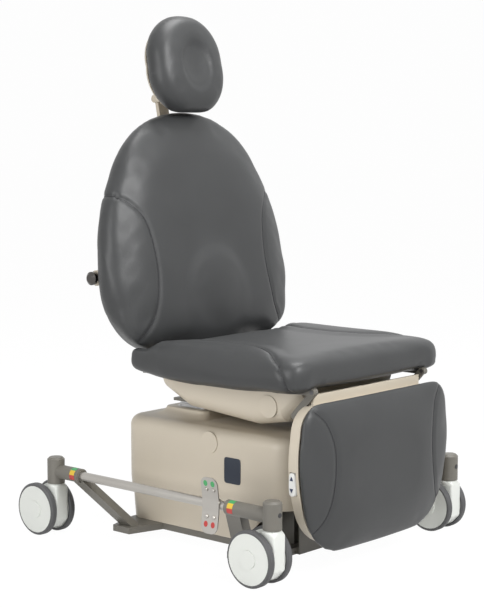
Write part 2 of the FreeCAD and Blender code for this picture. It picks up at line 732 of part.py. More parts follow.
def make_base_cover():
    wall = S.cover_wall
    gap = S.slide_clearance
    outer = lofted(cover_sections(as_size(0), PLATE_TOP + gap, S.cover_top))
    inner = lofted(cover_sections(wall, PLATE_TOP, S.cover_top - wall))
    rim_y = S.column_half_y + S.collar_rim
    flare = S.collar_flare
    collar_top = S.cover_top + S.collar_height
    collar = lofted((
        (S.cover_top - wall, (-S.collar_half_width - flare, S.collar_half_width + flare),
         (S.column_y - rim_y - flare / 4, S.column_y + rim_y + flare), S.column_corner + flare / 2),
        (collar_top, (-S.collar_half_width, S.collar_half_width),
         (S.column_y - rim_y, S.column_y + rim_y), S.column_corner + gap)))
    hole = lofted((
        (S.cover_top - wall * 2, (-S.column_half_x - gap, S.column_half_x + gap),
         (S.column_y - S.column_half_y - gap, S.column_y + S.column_half_y + gap), S.column_corner),
        (collar_top, (-S.column_half_x - gap, S.column_half_x + gap),
         (S.column_y - S.column_half_y - gap, S.column_y + S.column_half_y + gap), S.column_corner)))
    wide = S.cover_half_width
    slope = prism("x", (-wide, wide), (
        (S.cover_front_y, S.plate_bottom),
        (S.cover_front_y + S.cover_corner + S.apron_cut_length, S.plate_bottom),
        (S.cover_front_y + S.cover_corner, S.apron_top), (S.cover_front_y, S.apron_top)))
    pockets = [rod("x", S.cover_half_width * side - S.cap_thickness / 2,
                   S.cover_half_width * side + S.cap_thickness / 2,
                   (S.base_cap_y, S.base_cap_z), S.cap_radius) for name, side in SIDES]
    node("base_cover", cut(fuse(outer, collar), inner, hole, slope, *pockets))
    caps = [rod("x", S.cover_half_width * side - S.cap_thickness / 2,
                S.cover_half_width * side + S.cap_thickness / 2,
                (S.base_cap_y, S.base_cap_z), S.cap_radius) for name, side in SIDES]
    node("base_cover_caps", group(*caps))


def make_stage(label, shrink, foot, top, *tools):
    """One hollow stage of the lift column, smaller than the outer one by shrink on each side."""
    wall = S.column_wall
    limits = []
    for inset in (shrink, shrink + wall):
        limits.append(((-S.column_half_x + inset, S.column_half_x - inset),
                       (S.column_y - S.column_half_y + inset, S.column_y + S.column_half_y - inset),
                       S.column_corner - inset))
    outer = lofted([(height,) + limits[0] for height in (foot, top)])
    inner = lofted([(height,) + limits[1] for height in (foot, top)])
    node(label, cut(outer, inner, *tools))


def make_column():
    step = S.column_wall + S.slide_clearance
    foot = PLATE_TOP
    motor_y = S.column_y - S.column_half_y - S.lift_motor_gap - S.lift_motor_radius
    half = S.gearbox_half_x
    top = foot + S.gearbox_height
    gap = S.slide_clearance
    slot = box((-half - gap, half + gap), (motor_y, S.column_y - S.column_half_y + S.column_wall + gap),
               (foot, top + gap))
    make_stage("column_outer", as_size(0), foot, S.cover_top + S.collar_height, slot)
    mid_foot = top + S.stage_step
    inner_foot = mid_foot + S.lift_flange + S.stage_step
    make_stage("column_mid", step, mid_foot, S.mid_top)
    make_stage("column_inner", step * 2, inner_foot, S.column_top)

    gearbox = box((-half, half), (motor_y, S.column_y + half), (foot, top))
    motor = rod("z", top, top + S.lift_motor_height, (0, motor_y), S.lift_motor_radius)
    screw = rod("z", top, S.mid_top - S.lift_tube_top_gap * 2, (0, S.column_y), S.screw_radius)
    node("lift_drive", fuse(gearbox, motor, screw))

    inset = step + S.column_wall
    flange = lofted([(height, (-S.column_half_x + inset, S.column_half_x - inset),
                      (S.column_y - S.column_half_y + inset, S.column_y + S.column_half_y - inset),
                      S.column_corner - inset) for height in (mid_foot, mid_foot + S.lift_flange)])
    nut = rod("z", mid_foot, S.mid_top - S.lift_tube_top_gap, (0, S.column_y), S.nut_radius)
    nut_bore = rod("z", mid_foot, S.mid_top, (0, S.column_y), S.screw_radius + gap)
    node("lift_nut_tube", cut(fuse(flange, nut), nut_bore))
    tube = rod("z", inner_foot, S.column_top, (0, S.column_y), S.lift_tube_radius)
    tube_bore = rod("z", inner_foot, S.column_top, (0, S.column_y), S.nut_radius + gap)
    node("lift_tube", cut(tube, tube_bore))


def make_control_box():
    bevel = S.control_bevel
    front = S.control_rear_y - S.control_length
    top = PLATE_TOP + S.control_height
    profile = ((front, PLATE_TOP), (S.control_rear_y, PLATE_TOP), (S.control_rear_y, top - bevel),
               (S.control_rear_y - bevel, top), (front + bevel, top), (front, top - bevel))
    node("control_box", prism("x", (-S.control_half_x, S.control_half_x), profile))


make_base_plate()
make_base_cover()
make_column()
make_control_box()


# Tilt head on the column

RAIL_TOP = S.rail_bottom + S.rail_height
HEAD_TOP = S.column_top + S.head_plate
TILT_EYE_Y = S.column_y - S.tilt_lever * sine(S.tilt_range / 2) / cosine(S.tilt_range / 2)
TILT_EYE_Z = S.tilt_axis_z - S.tilt_lever
LEG_HALF = S.leg_range / 2
LEG_PIN_Y = S.leg_axis_y + S.leg_lever * sine(LEG_HALF)
LEG_PIN_Z = S.leg_axis_z - S.leg_lever * cosine(LEG_HALF)
LEG_SAG = S.leg_lever * (1 - cosine(LEG_HALF))
LEG_STROKE = S.leg_lever * sine(LEG_HALF) * 2
BACK_HALF = S.back_range / 2
BACK_PIN_Y = S.back_axis_y + S.back_lever * sine(BACK_HALF)
BACK_PIN_Z = S.back_axis_z - S.back_lever * cosine(BACK_HALF)
BACK_SAG = S.back_lever * (1 - cosine(BACK_HALF))
BACK_STROKE = S.back_lever * sine(BACK_HALF) * 2
TILT_STROKE = S.tilt_lever * sine(S.tilt_range / 2) / cosine(S.tilt_range / 2) * 2
TILT_X = S.actuator_spread
BACK_X = -S.actuator_spread
LEG_ROD_Z = LEG_PIN_Z - LEG_SAG / 2
BACK_ROD_Z = BACK_PIN_Z - BACK_SAG / 2


def clevis(x, y, z, root):
    """Two plates either side of an actuator's eye, from a root height to the pin."""
    plates = []
    for side in (-1, 1):
        near = x + (S.tail_half + S.slide_clearance) * side
        far = near + S.clevis_thickness * side
        low, high = (near, far) if side > 0 else (far, near)
        plates.append(rod("x", low, high, (y, z), S.clevis_radius))
        foot = (root, z) if float(root) < float(z) else (z, root)
        plates.append(box((low, high), (y - S.clevis_radius, y + S.clevis_radius), foot))
    return plates


def clevis_pin(x, y, z):
    half = S.tail_half + S.slide_clearance + S.clevis_thickness
    return rod("x", x - half, x + half, (y, z), S.lever_pin_radius)


def make_tilt_head():
    outer = S.rail_inner_x - S.slide_clearance
    inner = outer - S.ear_thickness
    plate = box((-outer, outer), (S.column_y - S.head_half_y, S.column_y + S.head_half_y),
                (S.column_top, HEAD_TOP))
    pieces = [plate]
    for name, side in SIDES:
        low, high = (inner, outer) if side > 0 else (-outer, -inner)
        pieces.append(rod("x", low, high, (S.column_y, S.tilt_axis_z), S.ear_radius))
        pieces.append(box((low, high), (S.column_y - S.ear_radius, S.column_y + S.ear_radius),
                          (HEAD_TOP, S.tilt_axis_z)))
    pieces += clevis(TILT_X, TILT_EYE_Y, TILT_EYE_Z, HEAD_TOP)
    bores = [clevis_pin(TILT_X, TILT_EYE_Y, TILT_EYE_Z),
             rod("x", -outer, outer, (S.column_y, S.tilt_axis_z), S.tilt_pin_radius)]
    node("tilt_head", cut(fuse(*pieces), *bores))
    pins = [clevis_pin(TILT_X, TILT_EYE_Y, TILT_EYE_Z)]
    far = S.rail_inner_x + S.rail_width
    for name, side in SIDES:
        low, high = (inner, far) if side > 0 else (-far, -inner)
        pins.append(rod("x", low, high, (S.column_y, S.tilt_axis_z), S.tilt_pin_radius))
    node("tilt_pins", group(*pins))


# Seat

def make_seat_frame():
    far = S.rail_inner_x + S.rail_width
    front = S.rail_front_y
    lug_far = S.leg_lug_x + S.lug_thickness
    pieces = []
    bores = []
    for name, side in SIDES:
        low, high = (S.rail_inner_x, far) if side > 0 else (-far, -S.rail_inner_x)
        pieces.append(box((low, high), (front, S.rail_rear_y), (S.rail_bottom, RAIL_TOP)))
        low, high = (S.leg_lug_x, lug_far) if side > 0 else (-lug_far, -S.leg_lug_x)
        knuckle = S.knuckle_radius
        pieces.append(rod("x", low, high, (S.leg_axis_y, S.leg_axis_z), knuckle))
        pieces.append(box((low, high), (S.leg_axis_y, front + S.beam_width),
                          (S.leg_axis_z - knuckle, RAIL_TOP)))
        bores.append(rod("x", low, high, (S.leg_axis_y, S.leg_axis_z), S.hinge_pin_radius))
    pieces.append(box((-lug_far, lug_far), (front, front + S.beam_width),
                      (S.leg_axis_z - S.knuckle_radius, RAIL_TOP)))
    for middle in (S.front_beam_y, S.rear_beam_y):
        half = S.beam_width / 2
        pieces.append(box((-S.rail_inner_x, S.rail_inner_x), (middle - half, middle + half),
                          (S.rail_bottom, RAIL_TOP)))
    holds = ((TILT_X, S.front_beam_y, TILT_EYE_Z), (as_size(0), S.rear_beam_y, LEG_ROD_Z),
             (BACK_X, S.rear_beam_y, BACK_ROD_Z))
    for x, y, z in holds:
        pieces += clevis(x, y, z, S.rail_bottom)
        bores.append(clevis_pin(x, y, z))
    pieces.append(box((-S.pan_half_width, S.pan_half_width), (S.pan_front_y, S.pan_rear_y),
                      (RAIL_TOP, RAIL_TOP + S.pan_thickness)))
    bores.append(rod("x", -far, far, (S.column_y, S.tilt_axis_z), S.tilt_pin_radius + S.fit_clearance))
    bores.append(rod("x", -far, far, (S.back_axis_y, S.back_axis_z), S.hinge_pin_radius))
    node("seat_frame", cut(fuse(*pieces), *bores))
    node("actuator_pins", group(*[clevis_pin(*spot) for spot in holds]))

    arm_far = far + S.slide_clearance + S.lug_thickness
    pins = []
    for name, side in SIDES:
        low, high = (S.rail_inner_x, arm_far) if side > 0 else (-arm_far, -S.rail_inner_x)
        pins.append(rod("x", low, high, (S.back_axis_y, S.back_axis_z), S.hinge_pin_radius))
        lever = S.leg_lug_x - S.slide_clearance - S.lug_thickness
        low, high = (lever, lug_far) if side > 0 else (-lug_far, -lever)
        pins.append(rod("x", low, high, (S.leg_axis_y, S.leg_axis_z), S.hinge_pin_radius))
    node("hinge_pins", group(*pins))


def make_actuator(label, x, tail_y, z, mouth, outward, bore_depth):
    """Tail, gearbox, motor beside the tube, and the tube's bore; outward is the rod's way along y."""
    gear_near = tail_y + S.tail_length * outward
    gear_far = gear_near + S.gear_length * outward

    def span(first, last):
        return (first, last) if outward > 0 else (last, first)

    tail = rod("x", x - S.tail_half, x + S.tail_half, (tail_y, z), S.clevis_radius)
    neck = box((x - S.tail_half, x + S.tail_half), span(tail_y, gear_near),
               (z - S.tail_half, z + S.tail_half))
    motor_x = x + (S.gear_half + S.motor_radius) * (-1 if float(x) < 0 else 1)
    low_x, high_x = (motor_x, x) if float(x) < 0 else (x, motor_x)
    gear = box((x - S.gear_half, x + S.gear_half), span(gear_near, gear_far),
               (z - S.motor_radius, z + S.motor_radius))
    bridge = box((low_x, high_x), span(gear_near, gear_far), (z - S.motor_radius, z + S.motor_radius))
    motor = rod("y", *span(gear_near, gear_far + S.motor_length * outward), (motor_x, z), S.motor_radius)
    tube = rod("y", *span(gear_far, mouth), (x, z), S.actuator_radius)
    pin_bore = clevis_pin(x, tail_y, z)
    rod_bore = rod("y", *span(mouth - bore_depth * outward, mouth), (x, z),
                   S.rod_radius + S.slide_clearance)
    node(label, cut(fuse(tail, neck, gear, bridge, motor, tube), pin_bore, rod_bore))


def crosshead(x, pin_y, pin_z, sag, rod_z, rod_start, outward):
    """Slotted head that pushes a lever pin, on its rod."""
    half = S.crosshead_thickness / 2
    slot = S.lever_pin_radius + S.slot_play
    wall = slot + S.crosshead_wall
    head = box((x - half, x + half), (pin_y - wall, pin_y + wall), (pin_z - sag - wall, pin_z + wall))
    window = box((x - half, x + half), (pin_y - slot, pin_y + slot), (pin_z - sag - slot, pin_z + slot))
    near = pin_y - wall * outward
    low, high = (rod_start, near) if outward > 0 else (near, rod_start)
    return cut(fuse(head, rod("y", low, high, (x, rod_z), S.rod_radius)), window)


def make_actuators():
    leg_bore = LEG_STROKE + S.rod_engagement
    make_actuator("leg_actuator", as_size(0), S.rear_beam_y, LEG_ROD_Z, S.leg_tube_end, -1,
                  leg_bore + S.slide_clearance)
    node("leg_rod", crosshead(as_size(0), LEG_PIN_Y, LEG_PIN_Z, LEG_SAG, LEG_ROD_Z,
                              S.leg_tube_end + leg_bore, -1))
    make_actuator("back_actuator", BACK_X, S.rear_beam_y, BACK_ROD_Z, S.back_tube_end, 1,
                  BACK_STROKE + S.rod_engagement + S.slide_clearance)
    node("back_rod", crosshead(BACK_X, BACK_PIN_Y, BACK_PIN_Z, BACK_SAG, BACK_ROD_Z,
                               S.back_tube_end - S.rod_engagement, 1))
    tilt_bore = TILT_STROKE + S.rod_engagement
    make_actuator("tilt_actuator", TILT_X, S.front_beam_y, TILT_EYE_Z, S.tilt_tube_end, 1,
                  tilt_bore + S.slide_clearance)
    eye = rod("x", TILT_X - S.tail_half, TILT_X + S.tail_half, (TILT_EYE_Y, TILT_EYE_Z), S.clevis_radius)
    stalk = rod("y", S.tilt_tube_end - tilt_bore, TILT_EYE_Y, (TILT_X, TILT_EYE_Z), S.rod_radius)
    hole = rod("x", TILT_X - S.tail_half, TILT_X + S.tail_half, (TILT_EYE_Y, TILT_EYE_Z),
               S.lever_pin_radius + S.eye_play)
    node("tilt_rod", cut(fuse(eye, stalk), hole))


def shroud_shape(wall):
    """The shroud's tub as a ruled loft of U sections from rear to front, drawn in by a wall."""
    top = float(RAIL_TOP)
    wires = []
    stations = (
        (S.shroud_rear_y, S.shroud_rear_z, 0), (S.shroud_waist_y, S.shroud_waist_z, 0),
        (S.shroud_low_y, S.shroud_low_z, 0), (S.shroud_chin_y, S.shroud_chin_z, 0),
        (S.shroud_nose_y, S.shroud_nose_z, S.shroud_nose_tuck))
    for index, (station, floor, tuck) in enumerate(stations):
        last = index == len(stations) - 1
        y = float(station) + (wall if last else 0)
        half = float(S.shroud_half_width) - float(tuck) - wall
        low = float(floor) + wall
        turn = float(S.shroud_corner) - wall
        bend = turn * (1 - math.sqrt(0.5))
        right = [Vector(half, y, top), Vector(half, y, low + turn), Vector(half - bend, y, low + bend),
                 Vector(half - turn, y, low)]
        left = [Vector(-spot.x, y, spot.z) for spot in reversed(right)]
        edges = [line(right[0], right[1]), arc(*right[1:]), line(right[3], left[0]), arc(*left[:3]),
                 line(left[2], left[3]), line(left[3], right[0])]
        wires.append(Part.Wire(edges))
    return through_sections(wires)


def make_shroud():
    wall = float(S.shroud_wall)
    tub = shape_feature(shroud_shape(0.0).cut(shroud_shape(wall)))
    gap = S.slide_clearance
    wide = S.rail_inner_x + gap
    column_door = box((-wide, wide), (S.shroud_waist_y, S.shroud_rear_y),
                      (S.shroud_waist_z - S.shroud_wall * 2, RAIL_TOP))
    lug_far = S.leg_lug_x + S.lug_thickness
    beam_slot = box((-lug_far, lug_far), (S.rail_front_y - gap, S.rail_front_y + S.beam_width + gap),
                    (S.leg_axis_z - S.knuckle_radius - gap, RAIL_TOP))
    rod_door = S.actuator_radius + gap
    mouth = box((-rod_door, rod_door), (S.shroud_nose_y, S.leg_tube_end + S.shroud_corner),
                (LEG_ROD_Z - rod_door, LEG_ROD_Z + rod_door))
    half = S.shroud_half_width
    inner = half - S.cap_thickness / 2
    outer = half + S.cap_thickness / 2
    seats = []
    caps = []
    for name, side in SIDES:
        low, high = (inner, outer) if side > 0 else (-outer, -inner)
        seats.append(rod("x", low, high, (S.shroud_cap_y, S.shroud_cap_z), S.cap_radius))
        caps.append(rod("x", low, high, (S.shroud_cap_y, S.shroud_cap_z), S.cap_radius))
    node("seat_shroud", cut(tub, column_door, beam_slot, mouth, *seats))
    node("shroud_caps", group(*caps))


CORNER_TURNS = (90, 50, 25, 0)


def make_seat_cushion():
    """Ruled loft of crowned sections whose sides hang past the seat pan."""
    floor = float(RAIL_TOP + S.pan_thickness + S.slide_clearance)
    inner = float(S.pan_half_width + S.lug_thickness)
    front, rear = float(S.seat_front_y), float(S.seat_rear_y)
    corner, edge, hem = float(S.seat_corner), float(S.seat_edge), float(S.seat_hem)
    low_y = float(S.seat_skirt_low_y)
    rows = []
    for turn in CORNER_TURNS:
        sweep = math.radians(turn)
        rows.append((front + corner * (1 - math.sin(sweep)), corner * (1 - math.cos(sweep))))
    rows += [(low_y, 0.0), ((low_y + rear) / 2, 0.0), (rear - edge, 0.0), (rear, edge / 2)]
    wires = []
    for y, draw in rows:
        half = float(S.seat_half_width) - draw
        if y < low_y:
            share = (y - low_y) / (front - low_y)
            skirt = float(S.seat_skirt_low) + (float(S.seat_skirt_front) - float(S.seat_skirt_low)) * share
        else:
            share = (y - low_y) / (rear - low_y)
            skirt = float(S.seat_skirt_low) + (float(S.seat_skirt_rear) - float(S.seat_skirt_low)) * share
        top = float(S.seat_top) - draw / 3
        bend = 1 - math.sqrt(0.5)
        hollow = min(inner, half - hem - edge / 4)
        right = [
            Vector(0, y, floor), Vector(hollow, y, floor), Vector(hollow + 1, y, skirt),
            Vector(half - hem, y, skirt), Vector(half - hem * bend, y, skirt + hem * bend),
            Vector(half, y, skirt + hem),
            Vector(half, y, top - edge), Vector(half - edge * bend, y, top - edge * bend),
            Vector(half - edge, y, top)]
        crown = Vector(0, y, top + float(S.seat_crown))
        left = [Vector(-spot.x, y, spot.z) for spot in right]
        edges = [
            line(left[1], right[1]), line(right[1], right[2]), line(right[2], right[3]),
            arc(right[3], right[4], right[5]),
            line(right[5], right[6]), arc(right[6], right[7], right[8]), arc(right[8], crown, left[8]),
            arc(left[8], left[7], left[6]), line(left[6], left[5]), arc(left[5], left[4], left[3]),
            line(left[3], left[2]), line(left[2], left[1])]
        wires.append(Part.Wire(edges))
    main = through_sections(wires)
    wing_rear, wing_top = float(S.seat_wing_rear_y), float(S.seat_wing_top)
    wing_inner, tuck = float(S.seat_wing_inner), float(S.seat_wing_tuck)
    rise = float(S.seat_wing_rise)
    wings = []
    for name, side in SIDES:
        wires = []
        for share in (0.0, 0.6, 1.0):
            y = (rear - edge) + (wing_rear - rear + edge) * share
            far = (float(S.seat_half_width) - tuck * share ** 2) * side
            skirt = float(S.seat_skirt_rear) + tuck * share ** 2
            spots = [Vector(wing_inner * side, y, skirt), Vector(far - hem * side, y, skirt),
                     Vector(far, y, skirt + hem), Vector(far, y, wing_top + rise),
                     Vector(wing_inner * side, y, wing_top)]
            wires.append(Part.makePolygon(spots + spots[:1]))
        wings.append(through_sections(wires))
    node("seat_cushion", shape_feature(main.fuse(wings).removeSplitter()))


make_tilt_head()
make_seat_frame()
make_actuators()
make_shroud()
make_seat_cushion()


# Back, in its own leaned frame: x across, y behind the front plane, z along the back

def leaned(feature, foot_y, foot_z):
    feature.Placement = Placement(Vector(), Rotation(Vector(-1, 0, 0), float(S.back_lean)))
    return place(feature, 0, foot_y, foot_z)


def back_place(y, z):
    """Depth and height along the back of a place given in the chair's frame."""
    over, up = y - S.back_foot_y, z - S.back_foot_z
    return (over * cosine(S.back_lean) - up * sine(S.back_lean),
            over * sine(S.back_lean) + up * cosine(S.back_lean))


def back_outline(depth, inset, foot):
    """Outline of the back at a depth, drawn in by an inset, with its lower edge at a height."""
    wide, shoulder, crown = (float(size) - inset for size in (S.back_half_width, S.back_shoulder_half,
                                                              S.back_crown_half))
    top = float(S.back_height) - inset
    low = foot + inset
    foot_half = float(S.back_foot_half) - inset / 2
    wide_z = float(S.back_wide_height)
    shoulder_z = float(S.back_shoulder_height)
    crown_z = top - float(S.back_crown_drop)
    swell, lift = float(S.back_crown_swell), float(S.back_crown_lift)
    turn_x = foot_half + (wide - foot_half) * math.sqrt(0.5)
    turn_z = low + (wide_z - low) * (1 - math.sqrt(0.5))
    half = (
        (0, low), ((foot_half, low),), ((turn_x, turn_z), (wide, wide_z)),
        ((wide - (wide - shoulder) * 0.22, (wide_z + shoulder_z) / 2), (shoulder, shoulder_z)),
        (((shoulder + crown) / 2 + swell, (shoulder_z + crown_z) / 2 + lift), (crown, crown_z)),
        ((crown / 2, top - float(S.back_crown_drop) * 0.25), (0, top)))
    return mirrored_wire(half, lambda x, z: Vector(x, depth(z), z))


def cushion_depth(share, beyond=0.0):
    """Depth along the back of a share of the cushion's thickness, which lessens towards the top."""
    low, high = float(S.back_thickness), float(S.back_top_thickness)
    return lambda z: (low + (high - low) * z / float(S.back_height)) * share + beyond


def make_back_cushion():
    edge = float(S.back_edge)
    thick = float(S.back_thickness)
    foot = float(S.back_foot_rise)
    rows = ((1.0, 0.0, edge), (0.68, 0.0, 0.0), (0.32, 0.0, edge * 0.3), (0.1, 0.0, edge * 1.2),
            (0.0, 0.0, edge * 2.6), (0.0, -float(S.back_crown), edge * 6.5))
    pillow = through_sections([back_outline(cushion_depth(share, beyond), inset, foot) for share, beyond,
                               inset in rows])
    rise = float(S.lumbar_rise + S.back_crown)
    radius = float(S.lumbar_radius)
    ball = (radius ** 2 + rise ** 2) / (2 * rise)
    swell = Part.makeSphere(ball, Vector(0, ball - rise, float(S.lumbar_height)))
    keep = Part.makeBox(4 * radius, thick / 2 + rise, 4 * radius,
                        Vector(-2 * radius, -rise - 1, float(S.lumbar_height) - 2 * radius))
    node("back_cushion", leaned(shape_feature(pillow.fuse(swell.common(keep))), S.back_foot_y,
                                S.back_foot_z))


def back_shell_solid(wall):
    rear = float(S.back_shell_rear) - wall
    inset = float(S.back_shell_inset) + wall
    foot = float(S.back_shell_foot)
    slope = float(S.back_shell_slope)
    draw = float(S.back_shell_draw)
    gap = float(S.slide_clearance)
    lean = float(S.back_shell_lean) / float(S.back_height)
    rows = ((cushion_depth(1.0, gap), inset, foot),
            (lambda z: (rear - lean * z + cushion_depth(1.0, gap)(z)) / 2, inset + draw / 6,
             foot + slope / 2),
            (lambda z: rear - lean * z, inset + draw, foot + slope - draw))
    return through_sections([back_outline(*row) for row in rows])


def make_back_shell():
    hollow = back_shell_solid(0.0).cut(back_shell_solid(float(S.shell_wall)))
    bosses = []
    stems = []
    for name, side in SIDES:
        face = S.stud_boss_x * side
        root = (S.stud_boss_x - S.stud_boss_length) * side
        low, high = (root, face) if side > 0 else (face, root)
        bosses.append(rod("x", low, high, (S.stud_depth, S.stud_height), S.stud_boss_radius))
        stems.append(rod("x", low, high, (S.stud_depth, S.stud_height), S.stud_stem_radius))
    half = S.bar_half_width + S.slide_clearance * 2 + S.socket_wall
    reach = S.bar_thickness / 2 + S.slide_clearance * 2 + S.socket_wall
    door = box((-half, half), (HEAD_BAR_DEPTH - reach, HEAD_BAR_DEPTH + reach),
               (SOCKET_TOP - S.socket_length, SOCKET_TOP))
    inner = S.rail_inner_x + S.rail_width
    outer = inner + S.lug_thickness + S.slide_clearance * 2
    slots = []
    for name, side in SIDES:
        low, high = (inner, outer) if side > 0 else (-outer, -inner)
        slots.append(box((low, high),
                         (SPINE_DEPTH - SPINE_LEAN, SPINE_DEPTH + S.spine_width + S.slide_clearance),
                         (0, S.back_shell_foot + S.back_shell_slope * 2)))
    shell = cut(fuse(shape_feature(hollow), *bosses), *stems, door, *slots)
    node("back_shell", leaned(shell, S.back_foot_y, S.back_foot_z))


def make_arm_studs():
    head = S.stud_head_radius
    studs = []
    for name, side in SIDES:
        profile = ((0, -S.stud_boss_length), (S.stud_stem_radius, -S.stud_boss_length),
                   (S.stud_stem_radius, S.stud_length * 0.3),
                   (head, S.stud_length * 0.45), (head, S.stud_length * 0.75),
                   (head * 0.6, S.stud_length), (0, S.stud_length))
        stud = turned(profile)
        stud.Placement = Placement(Vector(), Rotation(Vector(0, 1, 0), 90 * side))
        studs.append(place(stud, S.stud_boss_x * side, S.stud_depth, S.stud_height))
    node("arm_studs", leaned(group(*studs), S.back_foot_y, S.back_foot_z))


HINGE_DEPTH, HINGE_HEIGHT = back_place(S.back_axis_y, S.back_axis_z)
LEVER_DEPTH, LEVER_HEIGHT = back_place(BACK_PIN_Y, BACK_PIN_Z)
SPINE_DEPTH = S.back_thickness + S.spine_gap
SPINE_LEAN = (S.back_thickness - S.back_top_thickness) * S.spine_height / S.back_height
SOCKET_TOP = S.back_height - S.socket_drop
HEAD_FOOT_HEIGHT = S.back_height + S.head_foot_rise
HEAD_FOOT_Y = (S.back_foot_y + S.head_foot_depth * cosine(S.back_lean)
               + HEAD_FOOT_HEIGHT * sine(S.back_lean))
HEAD_FOOT_Z = (S.back_foot_z + HEAD_FOOT_HEIGHT * cosine(S.back_lean)
               - S.head_foot_depth * sine(S.back_lean))
HEAD_BAR_DEPTH = S.head_foot_depth + S.head_axis_depth
HEAD_BAR_TOP = HEAD_FOOT_HEIGHT + S.head_axis_height


def make_back_frame():
    inner = S.rail_inner_x + S.rail_width + S.slide_clearance
    outer = inner + S.lug_thickness
    front = SPINE_DEPTH
    rear = front + S.spine_width
    knuckle = S.knuckle_radius + S.lug_thickness / 2
    tube_depth = (front + rear) / 2
    pieces = []
    bores = []
    for name, side in SIDES:
        low, high = (inner, outer) if side > 0 else (-outer, -inner)
        pieces.append(rod("x", low, high, (HINGE_DEPTH, HINGE_HEIGHT), knuckle))
        pieces.append(prism("x", (low, high), (
            (HINGE_DEPTH, HINGE_HEIGHT - knuckle), (rear, -S.back_foot_rise / 2),
            (rear - SPINE_LEAN, S.spine_height),
            (front - SPINE_LEAN, S.spine_height), (front, 0), (HINGE_DEPTH - knuckle, HINGE_HEIGHT))))
        bores.append(rod("x", low, high, (HINGE_DEPTH, HINGE_HEIGHT), S.hinge_pin_radius + S.fit_clearance))
    pieces.append(rod("x", -inner, inner, (tube_depth, S.cross_tube_rise), S.cross_tube_radius))
    plate_top = S.back_plate_foot + S.back_plate_height
    high_front = front - SPINE_LEAN
    low_front = high_front + SPINE_LEAN * S.back_plate_height / S.spine_height
    pieces.append(prism("x", (-outer, outer), (
        (low_front, S.back_plate_foot), (low_front + S.back_plate_thickness, S.back_plate_foot),
        (high_front + S.back_plate_thickness, plate_top), (high_front, plate_top))))
    half = S.crosshead_thickness / 2 + S.slide_clearance
    for side in (-1, 1):
        near = BACK_X + half * side
        far = near + S.clevis_thickness * side
        low, high = (near, far) if side > 0 else (far, near)
        radius = S.lever_pin_radius * 1.7
        pieces.append(prism("x", (low, high), (
            (front, S.cross_tube_rise), (front, 0), (LEVER_DEPTH - radius, LEVER_HEIGHT),
            (LEVER_DEPTH, LEVER_HEIGHT - radius),
            (LEVER_DEPTH + radius, LEVER_HEIGHT), (rear, 0), (rear, S.cross_tube_rise))))
    reach = half + S.clevis_thickness
    pieces.append(rod("x", BACK_X - reach, BACK_X + reach, (LEVER_DEPTH, LEVER_HEIGHT), S.lever_pin_radius))
    node("back_frame", leaned(cut(fuse(*pieces), *bores), S.back_foot_y, S.back_foot_z))


def make_headrest_slide():
    gap = S.slide_clearance
    half = S.bar_half_width + gap
    front = HEAD_BAR_DEPTH - S.bar_thickness / 2 - gap
    rear = HEAD_BAR_DEPTH + S.bar_thickness / 2 + gap
    wall = S.socket_wall
    foot = SOCKET_TOP - S.socket_length
    block = box((-half - wall, half + wall), (front - wall, rear + wall), (foot, SOCKET_TOP))
    plate_front = SPINE_DEPTH - SPINE_LEAN
    plate_top = S.back_plate_foot + S.back_plate_height
    bridge = box((-half, half), (plate_front, rear + S.back_plate_thickness),
                 (plate_top, plate_top + wall * 2))
    tongue = box((-half, half), (rear, rear + S.back_plate_thickness), (plate_top, foot + wall))
    bore = box((-half, half), (front, rear), (foot, SOCKET_TOP))
    node("headrest_socket", leaned(cut(fuse(block, tongue, bridge), bore), S.back_foot_y, S.back_foot_z))

    stem = box((-S.bar_half_width, S.bar_half_width),
               (HEAD_BAR_DEPTH - S.bar_thickness / 2, HEAD_BAR_DEPTH + S.bar_thickness / 2),
               (SOCKET_TOP - S.head_travel - S.bar_grip, HEAD_BAR_TOP))
    knuckle = rod("x", -S.bar_half_width, S.bar_half_width, (HEAD_BAR_DEPTH, HEAD_BAR_TOP),
                  S.head_knuckle_radius)
    reach = S.bar_half_width + gap + S.head_lug_thickness
    pin = rod("x", -reach, reach, (HEAD_BAR_DEPTH, HEAD_BAR_TOP), S.head_pin_radius)
    node("headrest_bar", leaned(fuse(stem, knuckle, pin), S.back_foot_y, S.back_foot_z))


def head_outline(depth, inset):
    wide = float(S.head_half_width) - inset
    low_half = float(S.head_low_half) - inset / 2
    top = float(S.head_height) - inset
    wide_z = float(S.head_wide_height)
    rise = (top - wide_z) * math.sqrt(0.5)
    drop = (wide_z - inset) * math.sqrt(0.5)
    half = (
        (0, inset), ((low_half, inset),),
        ((low_half + (wide - low_half) * 0.72, wide_z - drop), (wide, wide_z)),
        ((wide * 0.76, wide_z + rise), (0, top)))
    return mirrored_wire(half, lambda x, z: Vector(x, depth, z))


